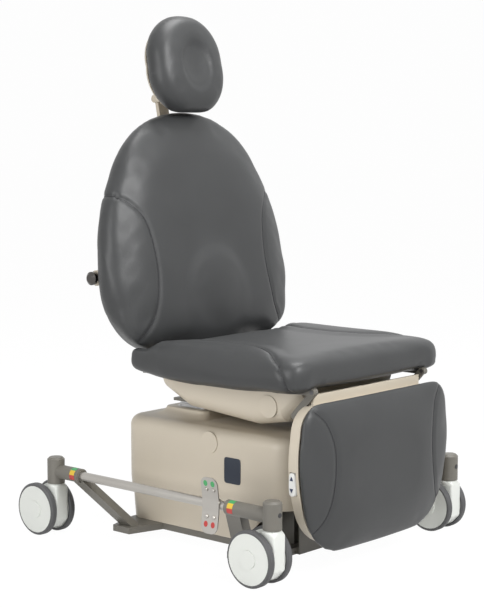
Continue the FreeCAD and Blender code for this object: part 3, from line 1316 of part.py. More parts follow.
def make_headrest():
    edge = float(S.head_edge)
    thick = float(S.head_thickness)
    rows = ((thick, edge * 0.8), (thick * 0.6, 0.0), (thick * 0.3, edge * 0.25),
            (thick * 0.08, edge * 1.3), (0.0, edge * 2.4))
    pillow = through_sections([head_outline(depth, inset) for depth, inset in rows])
    wide, tall, deep = float(S.dish_half_width), float(S.dish_half_height), float(S.dish_depth)
    ball = (wide ** 2 + deep ** 2) / (2 * deep)
    scale = FreeCAD.Matrix()
    scale.scale(1, 1, tall / wide)
    dish = Part.makeSphere(ball, Vector(0, deep - ball, 0)).transformGeometry(scale)
    dish.translate(Vector(0, 0, float(S.dish_height)))
    node("headrest_cushion", leaned(shape_feature(pillow.cut(dish)), HEAD_FOOT_Y, HEAD_FOOT_Z))

    rim = thick + float(S.slide_clearance)
    deep = float(S.head_shell_depth)
    shell = shape_feature(through_sections([head_outline(rim, edge),
                                            head_outline(rim + deep * 0.5, edge * 1.5),
                                            head_outline(rim + deep, float(S.head_shell_draw))]))
    lugs = []
    rear = S.head_thickness + S.slide_clearance + S.head_shell_depth
    for name, side in SIDES:
        near = (S.bar_half_width + S.slide_clearance) * side
        far = near + S.head_lug_thickness * side
        low, high = (near, far) if side > 0 else (far, near)
        lugs.append(rod("x", low, high, (S.head_axis_depth, S.head_axis_height), S.head_knuckle_radius))
        lugs.append(box((low, high), (rear - S.head_lug_thickness, S.head_axis_depth),
                        (S.head_axis_height - S.head_knuckle_radius,
                         S.head_axis_height + S.head_knuckle_radius)))
    reach = S.bar_half_width + S.slide_clearance + S.head_lug_thickness
    bore = rod("x", -reach, reach, (S.head_axis_depth, S.head_axis_height),
               S.head_pin_radius + S.fit_clearance)
    node("headrest_shell", leaned(cut(fuse(shell, *lugs), bore), HEAD_FOOT_Y, HEAD_FOOT_Z))


make_back_cushion()
make_back_shell()
make_arm_studs()
make_back_frame()
make_headrest_slide()
make_headrest()


# Leg section

LEG_BACK_Y = S.leg_front_y + S.leg_thickness
SHELL_FRONT_Y = LEG_BACK_Y + S.slide_clearance
SHELL_REAR_Y = SHELL_FRONT_Y + S.leg_shell_depth


def leg_outline(y, inset):
    wide = float(S.leg_half_width) - inset
    turn, knee, low_half, side = (wide - float(size) for size in (
        S.leg_turn_draw, S.leg_knee_draw, S.leg_bottom_draw, S.leg_side_draw))
    bow = float(S.leg_bottom_bow)
    low = float(S.leg_bottom) + inset
    top = float(S.leg_top) - inset
    corner = float(S.leg_corner)
    bend = corner * (1 - math.sqrt(0.5))
    knee_z = float(S.leg_bottom + S.leg_knee_rise)
    half = (
        (0, low), ((low_half / 2, low + bow / 4), (low_half, low + bow)),
        ((turn, low + float(S.leg_turn_rise)), (knee, knee_z)),
        ((wide, float(S.leg_wide_z)), (side, top - corner)),
        ((side - bend, top - bend), (side - corner, top)),
        ((0, top),))
    return mirrored_wire(half, lambda x, z: Vector(x, y, z))


def make_leg_cushion():
    front, thick, edge = float(S.leg_front_y), float(S.leg_thickness), float(S.leg_edge)
    crown = float(S.leg_crown)
    rows = ((front + thick, edge), (front + thick * 0.65, 0.0), (front + thick * 0.35, edge * 0.2),
            (front + crown + thick * 0.06, edge * 1.2), (front + crown, edge * 2.2), (front, edge * 6))
    node("leg_cushion", shape_feature(through_sections([leg_outline(y, inset) for y, inset in rows])))


def leg_shell_solid(wall):
    inset = float(S.leg_shell_inset) + wall
    front, rear = float(SHELL_FRONT_Y), float(SHELL_REAR_Y) - wall
    turn = float(S.leg_shell_round)
    return through_sections([leg_outline(front, inset), leg_outline(rear - turn, inset + 4),
                             leg_outline(rear, inset + turn + 4)])


SWITCH_X = -S.leg_half_width + S.leg_shell_inset
SWITCH_Y = LEG_BACK_Y + S.switch_setback


def make_leg_shell():
    hollow = shape_feature(leg_shell_solid(0.0).cut(leg_shell_solid(float(S.shell_wall))))
    strip_rear = S.leg_front_y + S.strip_depth
    strip = box((-S.strip_half_width, S.strip_half_width), (strip_rear - S.strip_thickness, strip_rear),
                (S.leg_top - S.leg_corner, S.strip_top))
    notch = box((-S.notch_half_width, S.notch_half_width), (LEG_BACK_Y + S.notch_half_width, SHELL_REAR_Y),
                (S.notch_foot, S.strip_top))
    gap = S.slide_clearance
    recess = box((SWITCH_X - S.switch_proud, SWITCH_X + S.switch_thickness),
                 (SWITCH_Y - S.switch_half_width - gap, SWITCH_Y + S.switch_half_width + gap),
                 (S.switch_z - S.switch_half_height - gap, S.switch_z + S.switch_half_height + gap))
    lever_inner = S.leg_lug_x - gap * 2 - S.lug_thickness
    lever_outer = S.leg_lug_x
    slots = []
    for name, side in SIDES:
        low, high = (lever_inner, lever_outer) if side > 0 else (-lever_outer, -lever_inner)
        slots.append(box((low, high), (S.leg_axis_y - S.knuckle_radius, SHELL_REAR_Y),
                         (LEG_PIN_Z - S.knuckle_radius, S.leg_top)))
    node("leg_shell", cut(fuse(hollow, strip), notch, recess, *slots))


def make_leg_frame():
    gap = S.slide_clearance
    outer = S.leg_lug_x - gap
    inner = outer - S.lug_thickness
    half = S.knuckle_radius
    near = SHELL_REAR_Y + gap
    far = near + S.flange_width
    pieces = []
    bores = []
    for name, side in SIDES:
        low, high = (inner, outer) if side > 0 else (-outer, -inner)
        pieces.append(rod("x", low, high, (S.leg_axis_y, S.leg_axis_z), half))
        pieces.append(rod("x", low, high, (LEG_PIN_Y, LEG_PIN_Z), half))
        pieces.append(prism("x", (low, high), (
            (S.leg_axis_y - half * 0.7, S.leg_axis_z - half * 0.7),
            (LEG_PIN_Y - half * 0.7, LEG_PIN_Z - half * 0.7),
            (LEG_PIN_Y + half * 0.7, LEG_PIN_Z + half * 0.7),
            (S.leg_axis_y + half * 0.7, S.leg_axis_z + half * 0.7))))
        pieces.append(prism("x", (low, high), (
            (near, S.flange_foot), (far, S.flange_foot), (far, LEG_PIN_Z - half * 2),
            (LEG_PIN_Y, LEG_PIN_Z), (near, LEG_PIN_Z))))
        bores.append(rod("x", low, high, (S.leg_axis_y, S.leg_axis_z),
                         S.hinge_pin_radius + S.fit_clearance))
    pieces.append(rod("x", -outer, outer, (LEG_PIN_Y, LEG_PIN_Z), S.lever_pin_radius))
    pieces.append(box((-outer, outer), (near, near + S.leg_plate_thickness),
                      (S.leg_plate_top - S.leg_plate_height, S.leg_plate_top)))
    node("leg_frame", cut(fuse(*pieces), *bores))


def make_switch():
    outer = SWITCH_X - S.switch_proud
    plate = box((outer, SWITCH_X + S.switch_thickness),
                (SWITCH_Y - S.switch_half_width, SWITCH_Y + S.switch_half_width),
                (S.switch_z - S.switch_half_height, S.switch_z + S.switch_half_height))
    gap = S.slide_clearance
    half = S.button_size / 2
    wells = []
    for label, way in (("up", 1), ("down", -1)):
        middle = S.switch_z + S.button_spread / 2 * way
        points = ((SWITCH_Y - half, middle - half * way), (SWITCH_Y + half, middle - half * way),
                  (SWITCH_Y, middle + half * way))
        grown = half + gap * 2
        well = ((SWITCH_Y - grown, middle - (half + gap) * way),
                (SWITCH_Y + grown, middle - (half + gap) * way),
                (SWITCH_Y, middle + grown * way))
        start = outer - S.button_proud
        node(f"leg_switch_{label}", prism("x", (start, start + S.button_depth), points))
        wells.append(prism("x", (outer, start + S.button_depth + S.button_travel + gap), well))
    node("leg_switch_plate", cut(plate, *wells))


make_leg_cushion()
make_leg_shell()
make_leg_frame()
make_switch()


# Build, check and write the pieces

doc.recompute()
for item in doc.Objects:
    if "Invalid" in item.State or "Error" in item.State:
        raise RuntimeError(f"{item.Name} ({item.Label}) failed: {item.State}")
for label, feature in nodes.items():
    shape = feature.Shape
    if shape.isNull() or not shape.isValid() or shape.Volume <= 0:
        raise RuntimeError(f"{label} has no valid shape")
os.makedirs("parts", exist_ok=True)
for label, feature in nodes.items():
    feature.Shape.exportStep(f"parts/{label}.step")
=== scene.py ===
"""Powered procedure chair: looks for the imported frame, in metres, the sitter facing -Y."""
import json
import math

import bmesh
import bpy
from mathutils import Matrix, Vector, kdtree
from mathutils.bvhtree import BVHTree


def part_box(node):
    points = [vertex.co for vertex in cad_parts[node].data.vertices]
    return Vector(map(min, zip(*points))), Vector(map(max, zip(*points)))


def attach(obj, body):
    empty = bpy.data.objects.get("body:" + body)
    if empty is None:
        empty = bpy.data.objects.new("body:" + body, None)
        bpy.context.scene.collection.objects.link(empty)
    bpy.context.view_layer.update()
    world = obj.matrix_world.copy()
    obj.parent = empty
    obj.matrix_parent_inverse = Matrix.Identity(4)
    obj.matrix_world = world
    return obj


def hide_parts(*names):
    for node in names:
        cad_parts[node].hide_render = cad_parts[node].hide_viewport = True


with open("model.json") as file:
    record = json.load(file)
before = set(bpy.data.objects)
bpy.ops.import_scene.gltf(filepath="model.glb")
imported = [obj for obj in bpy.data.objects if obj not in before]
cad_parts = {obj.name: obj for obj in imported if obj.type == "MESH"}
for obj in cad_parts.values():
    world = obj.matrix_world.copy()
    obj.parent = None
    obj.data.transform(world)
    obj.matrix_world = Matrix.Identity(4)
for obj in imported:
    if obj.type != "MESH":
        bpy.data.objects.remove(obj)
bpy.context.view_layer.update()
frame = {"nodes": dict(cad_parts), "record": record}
nodes = frame["nodes"]
scene = bpy.context.scene
scene.view_settings.view_transform = "Standard"

UP = Vector((0, 0, 1))
BACK_LEAN = math.radians(11)
BACK_FOOT = Vector((0, 0.086, 0.515))
BACK_UP = Vector((0, math.sin(BACK_LEAN), math.cos(BACK_LEAN)))
BACK_DEPTH = Vector((0, math.cos(BACK_LEAN), -math.sin(BACK_LEAN)))


# Shader trees

class Wire:
    """A socket of a finish; sums and products of wires add Math nodes."""

    def __init__(self, finish, socket):
        self.finish = finish
        self.socket = socket

    def math(self, operation, first, second):
        return self.finish.add("ShaderNodeMath", {"operation": operation}, {0: first, 1: second})

    def __add__(self, other):
        return self.math("ADD", self, other)

    __radd__ = __add__

    def __mul__(self, other):
        return self.math("MULTIPLY", self, other)

    __rmul__ = __mul__


class Finish:
    """One material and its node tree."""

    def __init__(self, name):
        self.material = bpy.data.materials.new(name)
        self.material.use_nodes = True
        self.tree = self.material.node_tree
        self.tree.nodes.clear()
        self.place = self.add("ShaderNodeTexCoord", {}, {}, "Object")

    def add(self, kind, settings, inputs, output=0):
        node = self.tree.nodes.new(kind)
        for key, value in settings.items():
            setattr(node, key, value)
        for key, value in inputs.items():
            if isinstance(value, Wire):
                self.tree.links.new(value.socket, node.inputs[key])
            else:
                node.inputs[key].default_value = value
        return Wire(self, node.outputs[output]) if len(node.outputs) else None

    def noise(self, scale, detail=2.0, stretch=None):
        place = self.place
        if stretch:
            place = self.add("ShaderNodeMapping", {}, {"Vector": place, "Scale": stretch})
        return self.add("ShaderNodeTexNoise", {}, {"Vector": place, "Scale": scale, "Detail": detail})

    def tint(self, factor, dark, light):
        return self.add("ShaderNodeMix", {"data_type": "RGBA"},
                        {0: factor, 6: (*dark, 1), 7: (*light, 1)}, 2)

    def bump(self, height, strength, distance, under=None):
        inputs = {"Strength": strength, "Distance": distance, "Height": height}
        if under:
            inputs["Normal"] = under
        return self.add("ShaderNodeBump", {}, inputs)

    def close(self, **inputs):
        named = {key.replace("_", " "): value for key, value in inputs.items()}
        shader = self.add("ShaderNodeBsdfPrincipled", {}, named)
        self.add("ShaderNodeOutputMaterial", {}, {"Surface": shader})
        return self.material


def scaled(colour, amount):
    return tuple(min(1.0, part * amount) for part in colour)


def vinyl_finish():
    finish = Finish("upholstery_vinyl")
    cells = finish.add("ShaderNodeTexVoronoi", {"feature": "DISTANCE_TO_EDGE"},
                       {"Vector": finish.place, "Scale": 620.0})
    fine = finish.noise(900.0, detail=3.0)
    broad = finish.noise(7.0, detail=3.0)
    creases = finish.noise(34.0)
    charcoal = (0.0420, 0.0432, 0.0440)
    grain = finish.bump(cells * 0.7 + fine * 0.3, strength=0.20, distance=0.0004)
    normal = finish.bump(creases, strength=0.10, distance=0.002, under=grain)
    return finish.close(Base_Color=finish.tint(broad, scaled(charcoal, 0.86), scaled(charcoal, 1.16)),
                        Roughness=broad * 0.10 + fine * 0.08 + 0.31, Normal=normal,
                        Specular_IOR_Level=0.30)


def moulded_finish(name, colour, rough, grain):
    finish = Finish(name)
    broad = finish.noise(4.0, detail=3.0)
    fine = finish.noise(1400.0)
    return finish.close(Base_Color=finish.tint(broad, scaled(colour, 0.95), scaled(colour, 1.04)),
                        Roughness=broad * 0.08 + fine * 0.10 + (rough - 0.09),
                        Normal=finish.bump(fine, strength=grain, distance=0.0003))


def painted_finish(name, colour):
    finish = Finish(name)
    peel = finish.noise(420.0)
    broad = finish.noise(9.0, detail=4.0)
    return finish.close(Base_Color=finish.tint(broad, scaled(colour, 0.90), scaled(colour, 1.08)),
                        Roughness=peel * 0.16 + 0.36,
                        Normal=finish.bump(peel, strength=0.16, distance=0.0006))


def metal_finish(name, colour, rough, streaks):
    finish = Finish(name)
    lines = finish.noise(600.0, detail=3.0, stretch=streaks)
    broad = finish.noise(11.0, detail=3.0)
    return finish.close(Base_Color=finish.tint(broad, scaled(colour, 0.88), scaled(colour, 1.08)),
                        Metallic=1.0, Roughness=lines * 0.14 + broad * 0.08 + rough,
                        Normal=finish.bump(lines, strength=0.05, distance=0.0004))


def tyre_finish():
    finish = Finish("caster_tread")
    fine = finish.noise(700.0, detail=3.0)
    broad = finish.noise(16.0, detail=4.0)
    colour = (0.066, 0.066, 0.068)
    return finish.close(Base_Color=finish.tint(broad, scaled(colour, 0.8), scaled(colour, 1.35)),
                        Roughness=fine * 0.2 + 0.5,
                        Normal=finish.bump(fine, strength=0.2, distance=0.0005))


BEIGE = (0.560, 0.500, 0.405)
finishes = {
    "vinyl": vinyl_finish(),
    "cover": moulded_finish("beige_cover", BEIGE, 0.42, 0.10),
    "frame_paint": painted_finish("taupe_powder_coat", (0.132, 0.124, 0.106)),
    "bar_paint": painted_finish("beige_powder_coat", BEIGE),
    "caster_white": moulded_finish("caster_white", (0.64, 0.655, 0.62), 0.30, 0.04),
    "tyre": tyre_finish(),
    "stainless": metal_finish("drawn_stainless", (0.44, 0.42, 0.39), 0.22, (1.0, 0.02, 1.0)),
    "chrome": metal_finish("bright_plate", (0.62, 0.62, 0.61), 0.06, (1.0, 1.0, 0.05)),
    "column_alloy": metal_finish("satin_stage", (0.52, 0.52, 0.52), 0.34, (1.0, 1.0, 0.02)),
    "dark_steel": metal_finish("oiled_steel", (0.13, 0.13, 0.135), 0.36, (0.1, 1.0, 1.0)),
    "black_plastic": moulded_finish("black_housing", (0.026, 0.026, 0.028), 0.48, 0.14),
    "switch_white": moulded_finish("switch_white", (0.72, 0.72, 0.70), 0.38, 0.04),
    "switch_navy": moulded_finish("switch_navy", (0.022, 0.030, 0.075), 0.40, 0.04),
}
thread = moulded_finish("seam_thread", (0.030, 0.030, 0.033), 0.62, 0.3)
plate_navy = moulded_finish("plate_navy", (0.010, 0.017, 0.032), 0.36, 0.05)
mark_green = moulded_finish("mark_green", (0.05, 0.30, 0.10), 0.40, 0.04)
mark_red = moulded_finish("mark_red", (0.42, 0.035, 0.03), 0.40, 0.04)
mark_yellow = moulded_finish("mark_yellow", (0.62, 0.42, 0.04), 0.40, 0.04)

for subpart in frame["record"]["subparts"]:
    holder = nodes[subpart["node"]]
    holder.data.materials.clear()
    holder.data.materials.append(finishes[subpart["material_slot"]])


# Making and placing pieces

WELD = 0.00002


def new_object(name, mesh, finish):
    piece = bpy.data.objects.new(name, mesh)
    scene.collection.objects.link(piece)
    mesh.materials.clear()
    mesh.materials.append(finish)
    return piece


def evaluated_mesh(holder):
    bpy.context.view_layer.update()
    depsgraph = bpy.context.evaluated_depsgraph_get()
    return bpy.data.meshes.new_from_object(holder.evaluated_get(depsgraph))


def settled(piece):
    """Applies the piece's modifiers to its mesh."""
    mesh = evaluated_mesh(piece)
    piece.modifiers.clear()
    piece.data = mesh


def smooth(mesh):
    mesh.polygons.foreach_set("use_smooth", [True] * len(mesh.polygons))


def merged_copy(name, node, finish):
    """A welded copy of a CAD node's mesh."""
    form = bmesh.new()
    form.from_mesh(nodes[node].data)
    bmesh.ops.remove_doubles(form, verts=form.verts, dist=WELD)
    mesh = bpy.data.meshes.new(name)
    form.to_mesh(mesh)
    form.free()
    return new_object(name, mesh, finish)


def surface_tree(piece):
    mesh = piece.data
    return BVHTree.FromPolygons([v.co for v in mesh.vertices], [p.vertices for p in mesh.polygons])


def finish_piece(piece, body):
    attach(piece, body)


# Upholstery

CLOTH_FRAMES = 12
FOAM_PRESSURE = 4.0
CALM_PASSES = 10
SEAM_STEP = 0.004
SEAM_WIDTH = 0.0070
SEAM_DEPTH = 0.0036
THREAD_SINK = 0.0027
THREAD_RADIUS = 0.0009
STITCH_ASIDE = 0.0042
STITCH_SINK = 0.0014
STITCH_THICKNESS = 0.0005
CAST_BACK = 0.4


def relaxed(piece, passes):
    """Adds a modifier that evens the surface out."""
    relax = piece.modifiers.new("relax", "SMOOTH")
    relax.factor = 0.5
    relax.iterations = passes


def remeshed(piece, voxel, passes):
    """Makes an even, softened mesh of the piece's form."""
    skin = piece.modifiers.new("skin", "REMESH")
    skin.mode = "VOXEL"
    skin.voxel_size = voxel
    relaxed(piece, passes)
    settled(piece)


def swollen(piece, start, cap):
    """Foam pressing out under the vinyl: a short cloth run from a slightly smaller form."""
    mesh = piece.data
    rest = [v.co.copy() for v in mesh.vertices]
    for vertex in mesh.vertices:
        vertex.co -= vertex.normal * start
    cloth = piece.modifiers.new("foam", "CLOTH")
    cloth.settings.effector_weights.gravity = 0.0
    cloth.settings.use_pressure = True
    cloth.settings.uniform_pressure_force = FOAM_PRESSURE
    cloth.settings.quality = 2
    cloth.settings.tension_stiffness = 40.0
    cloth.settings.compression_stiffness = 40.0
    cloth.settings.bending_stiffness = 8.0
    cloth.collision_settings.use_collision = False
    cloth.point_cache.frame_start = 1
    cloth.point_cache.frame_end = CLOTH_FRAMES
    for step in range(1, CLOTH_FRAMES + 1):
        scene.frame_set(step)
    settled(piece)
    scene.frame_set(1)
    for vertex, home in zip(piece.data.vertices, rest):
        move = vertex.co - home
        if move.length > cap:
            vertex.co = home + move * (cap / move.length)


def fitted(piece, node):
    """Stretches a softened form back to the box of its CAD solid."""
    low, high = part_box(node)
    places = [vertex.co for vertex in piece.data.vertices]
    for axis in range(3):
        near = min(place[axis] for place in places)
        far = max(place[axis] for place in places)
        for place in places:
            share = (place[axis] - near) / (far - near)
            place[axis] = low[axis] + (high[axis] - low[axis]) * share


def spline_through(points, step):
    """Evenly fine points on a smooth line through a guide."""
    ends = [points[0] * 2 - points[1]] + list(points) + [points[-1] * 2 - points[-2]]
    line = []
    for a, b, c, d in zip(ends, ends[1:], ends[2:], ends[3:]):
        count = max(2, int((c - b).length / step))
        for index in range(count):
            t = index / count
            line.append(((b * 2) + (c - a) * t + (a * 2 - b * 5 + c * 4 - d) * t ** 2
                         + (b * 3 - a - c * 3 + d) * t ** 3) / 2)
    line.append(points[-1].copy())
    return line


def seam_on(piece, guide, towards):
    """Where a guide line, cast towards the piece, lies on its surface: points and normals."""
    tree = surface_tree(piece)
    path = []
    for point in spline_through(guide, SEAM_STEP):
        spot, normal, face, distance = tree.ray_cast(point - towards * CAST_BACK, towards)
        if spot is not None:
            path.append((spot, normal))
    return path


def sunk_seam(piece, path):
    """Draws the cover in along a seam."""
    tree = kdtree.KDTree(len(path))
    for index, (spot, normal) in enumerate(path):
        tree.insert(spot, index)
    tree.balance()
    for vertex in piece.data.vertices:
        spot, index, distance = tree.find(vertex.co)
        if distance < SEAM_WIDTH * 2.5:
            vertex.co -= path[index][1] * SEAM_DEPTH * math.exp(-(distance / SEAM_WIDTH) ** 2)


def thread_line(name, path, body):
    """The dark line of thread at the bottom of a seam."""
    curve = bpy.data.curves.new(name, "CURVE")
    curve.dimensions = "3D"
    curve.bevel_depth = THREAD_RADIUS
    curve.bevel_resolution = 1
    spline = curve.splines.new("POLY")
    spline.points.add(len(path) - 1)
    for point, (spot, normal) in zip(spline.points, path):
        point.co = (*(spot - normal * THREAD_SINK), 1)
    holder = bpy.data.objects.new(name, curve)
    scene.collection.objects.link(holder)
    mesh = evaluated_mesh(holder)
    bpy.data.objects.remove(holder)
    line = new_object(name, mesh, thread)
    smooth(mesh)
    finish_piece(line, body)


# Geometry Nodes: stitches along a path, screw heads on points

class Tree:
    """A geometry node tree built from code."""

    def __init__(self, name):
        self.group = bpy.data.node_groups.new(name, "GeometryNodeTree")
        self.sizes = {}
        self.socket("Geometry", "NodeSocketGeometry", "INPUT")
        self.socket("Geometry", "NodeSocketGeometry", "OUTPUT")
        self.entry = self.group.nodes.new("NodeGroupInput")
        self.exit = self.group.nodes.new("NodeGroupOutput")

    def socket(self, name, kind, way):
        made = self.group.interface.new_socket(name, in_out=way, socket_type=kind)
        self.sizes[name] = made.identifier
        return made

    def size(self, name, value):
        self.socket(name, "NodeSocketFloat", "INPUT").default_value = value

    def add(self, kind, settings, inputs, output=0):
        node = self.group.nodes.new(kind)
        for key, value in settings.items():
            setattr(node, key, value)
        for key, value in inputs.items():
            if isinstance(value, bpy.types.NodeSocket):
                self.group.links.new(value, node.inputs[key])
            else:
                node.inputs[key].default_value = value
        return node.outputs[output]

    def finish(self, geometry, material):
        real = self.add("GeometryNodeRealizeInstances", {}, {"Geometry": geometry})
        dressed = self.add("GeometryNodeSetMaterial", {}, {"Geometry": real, "Material": material})
        self.group.links.new(dressed, self.exit.inputs[0])


def facing_instances(tree, head):
    """Instances of a head on the mesh's points, each turned along the point's facing attribute."""
    facing = tree.add("GeometryNodeInputNamedAttribute", {"data_type": "FLOAT_VECTOR"},
                      {"Name": "facing"})
    turned = tree.add("FunctionNodeAlignRotationToVector", {"axis": "Z"}, {"Vector": facing})
    points = tree.add("GeometryNodeMeshToPoints", {}, {"Mesh": tree.entry.outputs[0]})
    return tree.add("GeometryNodeInstanceOnPoints", {},
                    {"Points": points, "Instance": head, "Rotation": turned})


def stitch_tree():
    tree = Tree("stitch_row")
    tree.size("Length", 0.0034)
    tree.size("Thickness", 0.00045)
    bar = tree.add("GeometryNodeMeshCylinder", {"fill_type": "TRIANGLE_FAN"},
                   {"Vertices": 6, "Radius": tree.entry.outputs[2], "Depth": tree.entry.outputs[1]})
    tree.finish(facing_instances(tree, bar), thread)
    return tree


def screw_tree(material):
    tree = Tree("screw_heads")
    tree.size("Radius", 0.005)
    tree.size("Height", 0.0022)
    head = tree.add("GeometryNodeMeshCone", {"fill_type": "TRIANGLE_FAN"},
                    {"Vertices": 24, "Radius Top": 0.0038, "Radius Bottom": tree.entry.outputs[1],
                     "Depth": tree.entry.outputs[2]})
    tree.finish(facing_instances(tree, head), material)
    return tree


def from_points(name, tree, spots, sizes, body):
    """One mesh of a tree's instances at (place, facing) spots."""
    mesh = bpy.data.meshes.new(name)
    mesh.from_pydata([spot for spot, facing in spots], [], [])
    facing_layer = mesh.attributes.new("facing", "FLOAT_VECTOR", "POINT")
    for index, (spot, facing) in enumerate(spots):
        facing_layer.data[index].vector = facing
    piece = bpy.data.objects.new(name, mesh)
    scene.collection.objects.link(piece)
    modifier = piece.modifiers.new("make", "NODES")
    modifier.node_group = tree.group
    for key, value in sizes.items():
        modifier[tree.sizes[key]] = value
    settled(piece)
    finish_piece(piece, body)


stitches = stitch_tree()
screws = screw_tree(finishes["dark_steel"])


def stitched(name, path, body):
    """A row of stitches beside a seam, each lying along it."""
    spots = []
    for (a, normal_a), (b, normal_b) in zip(path[1::2], path[2::2]):
        along = (b - a).normalized()
        across = along.cross(normal_a).normalized()
        spots.append((a + across * STITCH_ASIDE - normal_a * STITCH_SINK, along))
    from_points(name, stitches, spots, {"Thickness": STITCH_THICKNESS}, body)


def eased(value):
    """A share held between 0 and 1, with soft ends."""
    share = min(1.0, max(0.0, value))
    return share * share * (3 - 2 * share)


OVAL_END = 1.25
OVAL_RIM = 0.4


def domed(piece, centre, across, upward, half_width, half_height, height):
    """Raises or sinks an oval of the front, with a soft, fairly steep rim."""
    facing = across.cross(upward)
    normals = [vertex.normal.copy() for vertex in piece.data.vertices]
    for vertex, normal in zip(piece.data.vertices, normals):
        offset = vertex.co - centre
        reach = math.hypot(offset.dot(across) / half_width, offset.dot(upward) / half_height)
        if reach < OVAL_END and normal.dot(facing) > 0.3:
            vertex.co += facing * height * eased((OVAL_END - reach) / OVAL_RIM)


def cushion(name, node, body, voxel, passes, start, cap, seams, domes=(), form=None):
    """One padded piece: its form from the CAD solid, swollen, with its seams drawn in."""
    piece = merged_copy(name, node, finishes["vinyl"])
    remeshed(piece, voxel, passes)
    swollen(piece, start, cap)
    relaxed(piece, CALM_PASSES)
    finer = piece.modifiers.new("finer", "SUBSURF")
    finer.levels = 1
    finer.render_levels = 1
    settled(piece)
    fitted(piece, node)
    for dome in domes:
        domed(piece, *dome)
    if form:
        form(piece)
    for index, (guide, towards) in enumerate(seams):
        path = seam_on(piece, guide, towards)
        sunk_seam(piece, path)
        thread_line(f"{name}_seam_{index}", path, body)
        stitched(f"{name}_stitches_{index}", path, body)
    smooth(piece.data)
    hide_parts(node)
    finish_piece(piece, body)


def on_back(points, side):
    return [BACK_FOOT + Vector((x * side, 0, 0)) + BACK_UP * h for x, h in points]


# Seam guides: half width and height on the back and the leg pad, depth and height on the back's side,
# half width and y on the seat's top, y and height on the seat's side
BACK_WING = ((0.318, 0.474), (0.288, 0.452), (0.246, 0.390),
             (0.230, 0.262), (0.252, 0.140), (0.296, 0.068))
BACK_SIDE = ((0.036, 0.478), (0.070, 0.484), (0.104, 0.486))
LEG_WING = ((0.278, 0.446), (0.240, 0.408), (0.217, 0.335),
            (0.220, 0.240), (0.242, 0.165), (0.276, 0.120))
SEAT_SEAM = ((0.236, 0.070), (0.192, -0.070), (0.199, -0.206),
             (0.245, -0.290), (0.295, -0.350), (0.316, -0.384))
SEAT_SIDE = ((-0.388, 0.553), (-0.405, 0.530), (-0.412, 0.508), (-0.414, 0.492))
back_seams = [(on_back(BACK_WING, side), BACK_DEPTH) for side in (-1, 1)]
for side in (-1, 1):
    outward = Vector((side, 0, 0))
    around = []
    for depth, height in BACK_SIDE:
        around.append(BACK_FOOT + outward * 0.5 + BACK_DEPTH * depth + BACK_UP * height)
    back_seams.append((around, -outward))
leg_seams = []
for side in (-1, 1):
    leg_seams.append(([Vector((x * side, -0.5, z)) for x, z in LEG_WING], Vector((0, 1, 0))))
seat_seams = []
for side in (-1, 1):
    seat_seams.append(([Vector((x * side, y, 0.58)) for x, y in SEAT_SEAM], Vector((0, 0, -1))))
    seat_seams.append(([Vector((0.34 * side, y, z)) for y, z in SEAT_SIDE], Vector((-side, 0, 0))))


ROW = 0.02
CROWN_FALL = 0.016
CROWN_DEPTH = 0.08
CROWN_START = 0.45
FOOT_SPREAD = 0.12
SEAT_MIDDLE = 0.515
SEAT_HALF = 0.335
HEM_DROP = 0.007
REAR_RISE = 0.014
BOLSTER_RISE = 0.006
PANEL_DROP = 0.006


def crowned(piece, upward, below):
    """Lets a pad's front fall back towards its outline, so that it is fullest in the middle."""
    inward = upward.cross(Vector((1, 0, 0)))
    heights = [vertex.co.dot(upward) for vertex in piece.data.vertices]
    front = min(vertex.co.dot(inward) for vertex in piece.data.vertices)
    half_widths = {}
    for vertex, height in zip(piece.data.vertices, heights):
        row = math.floor(height / ROW)
        half_widths[row] = max(half_widths.get(row, 0.01), abs(vertex.co.x))
    low = min(heights) - below
    high = max(heights)
    for vertex, height in zip(piece.data.vertices, heights):
        row = math.floor(height / ROW)
        part = height / ROW - row
        half = half_widths[row] * (1 - part) + half_widths.get(row + 1, half_widths[row]) * part
        rise = abs(2 * (height - low) / (high - low) - 1)
        reach = ((vertex.co.x / half) ** 4 + rise ** 4) ** 0.25
        ahead = eased((CROWN_DEPTH - (vertex.co.dot(inward) - front)) / CROWN_DEPTH)
        vertex.co += inward * CROWN_FALL * ahead * eased((reach - CROWN_START) / (1 - CROWN_START))


def crowned_leg(piece):
    """The leg pad's form: full in the middle."""
    crowned(piece, UP, below=0.0)


def back_form(piece):
    """Keeps the back's width down to the seat, where the softening drew it in, and crowns its front."""
    for vertex in piece.data.vertices:
        offset = vertex.co - BACK_FOOT
        front = eased((0.105 - offset.dot(BACK_DEPTH)) / 0.07)
        vertex.co.x *= 1 + FOOT_SPREAD * front * eased((0.175 - offset.dot(BACK_UP)) / 0.12)
    crowned(piece, BACK_UP, below=0.15)


def seam_x_at(y):
    """Half the width between the seat's two seams."""
    held = min(max(y, SEAT_SEAM[-1][1]), SEAT_SEAM[0][1])
    for (near_x, near_y), (far_x, far_y) in zip(SEAT_SEAM, SEAT_SEAM[1:]):
        if far_y <= held <= near_y:
            seam_x = near_x + (far_x - near_x) * (near_y - held) / (near_y - far_y)
    return seam_x


